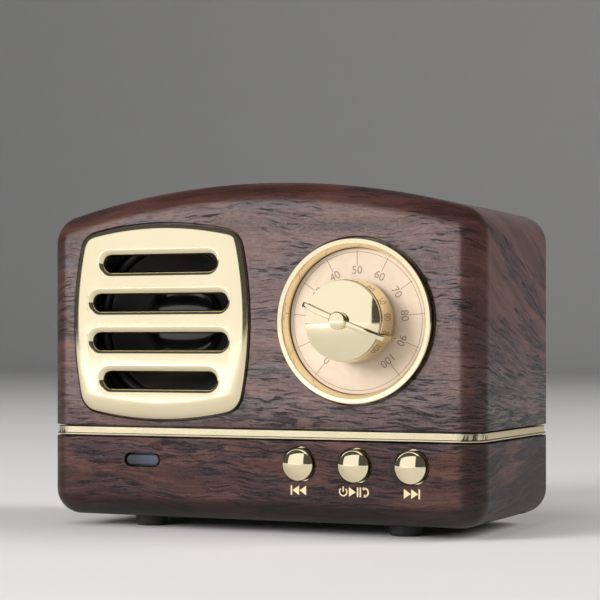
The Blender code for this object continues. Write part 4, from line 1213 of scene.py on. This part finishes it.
# Sockets: a charging socket with its tongue, a headphone jack and a memory-card slot at the tray's rear.
usb_low, usb_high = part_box("usb_socket")
usb_centre = centre_of("usb_socket")
usb_outline = rounded(usb_centre, usb_high.x - usb_low.x, usb_high.z - usb_low.z, 0.9 * MM)
usb_shell = mesh_piece("charging_socket_shell", slab(usb_outline, usb_low.y, usb_high.y), nickel_plate)
usb_mouth = rounded(usb_centre, 6.9 * MM, 2.1 * MM, 0.65 * MM)
cut(usb_shell, slab(usb_mouth, usb_low.y + 0.6 * MM, usb_high.y + MM))
ease_edges(usb_shell, 0.06 * MM)
usb_tongue = mesh_piece(
    "charging_socket_tongue",
    slab(rounded(usb_centre, 5.2 * MM, 0.6 * MM, 0.1 * MM, 2), usb_low.y + 0.5 * MM, usb_high.y - 0.7 * MM),
    black_plastic,
)
contacts = bmesh.new()
for number in range(5):
    x = usb_centre[0] + (number - 2) * 0.95 * MM
    z = usb_centre[1] - 0.3 * MM
    low = (x - 0.2 * MM, usb_low.y + 0.6 * MM, z - 0.05 * MM)
    add_to(contacts, block(low, (x + 0.2 * MM, usb_high.y - MM, z + 0.02 * MM)))
usb_contacts = mesh_piece("charging_socket_contacts", contacts, brass)
for piece, slot in ((usb_shell, "steel"), (usb_tongue, "black_plastic"), (usb_contacts, "gilt")):
    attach(piece, "cabinet")
    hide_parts("usb_socket")

jack_low, jack_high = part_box("audio_jack")
jack_centre = (centre_of("audio_jack")[0], jack_low.z + 3.0 * MM)
jack_wall = rear - tray_wall - 0.3 * MM
jack_body = block(jack_low, (jack_high.x, jack_wall, jack_high.z))
jack = mesh_piece("headphone_jack", jack_body, black_plastic)
join(jack, rod(2.8 * MM, jack_wall - 0.5 * MM, jack_high.y, jack_centre, 64, "Y"))
cut(jack, rod(1.75 * MM, jack_low.y + 1.5 * MM, rear + MM, jack_centre, 64, "Y"))
ease_edges(jack, 0.1 * MM)
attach(jack, "cabinet")
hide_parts("audio_jack")
jack_sleeve_profile = [
    (1.72 * MM, front - jack_high.y + 0.15 * MM),
    (1.72 * MM, front - jack_low.y - 3.0 * MM),
    (1.55 * MM, front - jack_low.y - 3.0 * MM),
    (1.55 * MM, front - jack_high.y + 0.25 * MM),
]
jack_sleeve = turned("headphone_jack_sleeve", jack_sleeve_profile, jack_centre, nickel_plate, 64)
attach(jack_sleeve, "cabinet")

card_low, card_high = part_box("card_slot")
card_shell = mesh_piece("card_slot_shell", block(card_low, card_high), nickel_plate)
card_mouth = rounded(centre_of("card_slot"), 11.2 * MM, 0.9 * MM, 0.15 * MM, 2)
cut(card_shell, slab(card_mouth, card_low.y + 0.6 * MM, card_high.y + MM))
ease_edges(card_shell, 0.08 * MM)
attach(card_shell, "cabinet")
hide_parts("card_slot")


# Battery: a foil pouch cell on a foam pad, taped to the shell's rear wall, and the leads between driver,
# cell, control and board.
def foil_finish():
    """Aluminium laminate, slightly crumpled."""
    made, shader, place = new_finish("battery_foil", Metallic=0.85)
    creases = place.noise(0.35, 4.0, (1, 1, 1), 0.6)
    fine = place.noise(4.0, 2.0)
    feed(
        shader,
        Base_Color=creases.mixed((0.58, 0.59, 0.60, 1), (0.72, 0.72, 0.73, 1)),
        Roughness=0.34 + 0.14 * fine,
        Normal=creases.bump(0.5, 0.3 * MM),
    )
    return made


red_jacket = mottled("red_jacket", (0.42, 0.018, 0.014), (0.55, 0.030, 0.022), 0.9, (0.34, 0.46), 0.02 * MM)
black_jacket = mottled(
    "black_jacket", (0.012, 0.012, 0.013), (0.024, 0.024, 0.025), 0.9, (0.34, 0.46), 0.02 * MM
)
finish_nodes(foil_finish(), "battery")
finish_nodes(foam, "battery_pad")
finish_nodes(red_jacket, "speaker_lead_positive", "battery_lead")
finish_nodes(black_jacket, "speaker_lead_negative", "control_lead")


# Floor, lights and camera.
def studio_paper():
    """Pale matt paper."""
    made, shader, place = new_finish("studio_paper", Roughness=0.9)
    feed(shader, Base_Color=place.noise(0.02, 2.0).mixed((0.80, 0.79, 0.78, 1), (0.83, 0.82, 0.81, 1)))
    return made


def paper_sweep():
    """Floor that curves up far behind the object."""
    work = bmesh.new()
    width, near, back, bend, height = 4.0, -3.2, 2.8, 1.0, 3.0
    newest = [work.verts.new((-width, near, 0))]
    newest = draw_to(work, newest, (-width, back - bend, 0))
    newest = swing(work, newest, (-width, back - bend, bend), (1, 0, 0), 90, 24)
    draw_to(work, newest, (-width, back, height))
    push_on(work, bmesh.ops.extrude_edge_only(work, edges=work.edges[:]), (2 * width, 0, 0))
    return work


floor = mesh_piece("studio_floor", paper_sweep(), studio_paper(), 60)


def soft_light(name, size, brightness, place, target, mirrored=True):
    """A large rectangular soft light aimed at a point, as bright as given all over its face."""
    lamp = bpy.data.lights.new(name, "AREA")
    lamp.shape = "RECTANGLE"
    lamp.size, lamp.size_y = size
    lamp.energy = math.pi * size[0] * size[1] * brightness
    made = bpy.data.objects.new(name, lamp)
    made.location = place
    made.rotation_euler = (Vector(target) - Vector(place)).to_track_quat("-Z", "Y").to_euler()
    made.visible_glossy = mirrored
    made.visible_camera = False
    bpy.context.scene.collection.objects.link(made)


middle = (0, 0, 33 * MM)
soft_light("left_panel", (1.75, 0.86), 1.0, (-0.735, -1.0, 0.435), (-0.735, 0, 0.435))
soft_light("left_key", (0.5, 0.5), 15.0, (-0.6, -0.98, 0.42), middle, mirrored=False)
soft_light("right_window", (0.8, 0.8), 6.5, (1.15, 0.35, 0.75), middle, mirrored=False)
soft_light("floor_wash", (1.2, 0.8), 2.2, (-0.3, -0.75, 1.3), (-0.3, -0.75, 0), mirrored=False)

world = bpy.data.worlds.new("studio")
world.use_nodes = True
world.node_tree.nodes["Background"].inputs["Color"].default_value = (0.55, 0.55, 0.56, 1)
world.node_tree.nodes["Background"].inputs["Strength"].default_value = 0.15
bpy.context.scene.world = world
bpy.context.scene.view_settings.view_transform = "Standard"

camera_turn = math.radians(23.94)
lens = bpy.data.cameras.new("camera")
lens.lens = 116.37
lens.sensor_width = 36
lens.shift_y = 0.07
lens.clip_start = 0.01
camera = bpy.data.objects.new("camera", lens)
camera.location = (153.88 * MM, front - 325.38 * MM, underside + 33.47 * MM)
camera.rotation_euler = (math.radians(90), 0, camera_turn)
bpy.context.scene.collection.objects.link(camera)
bpy.context.scene.camera = camera
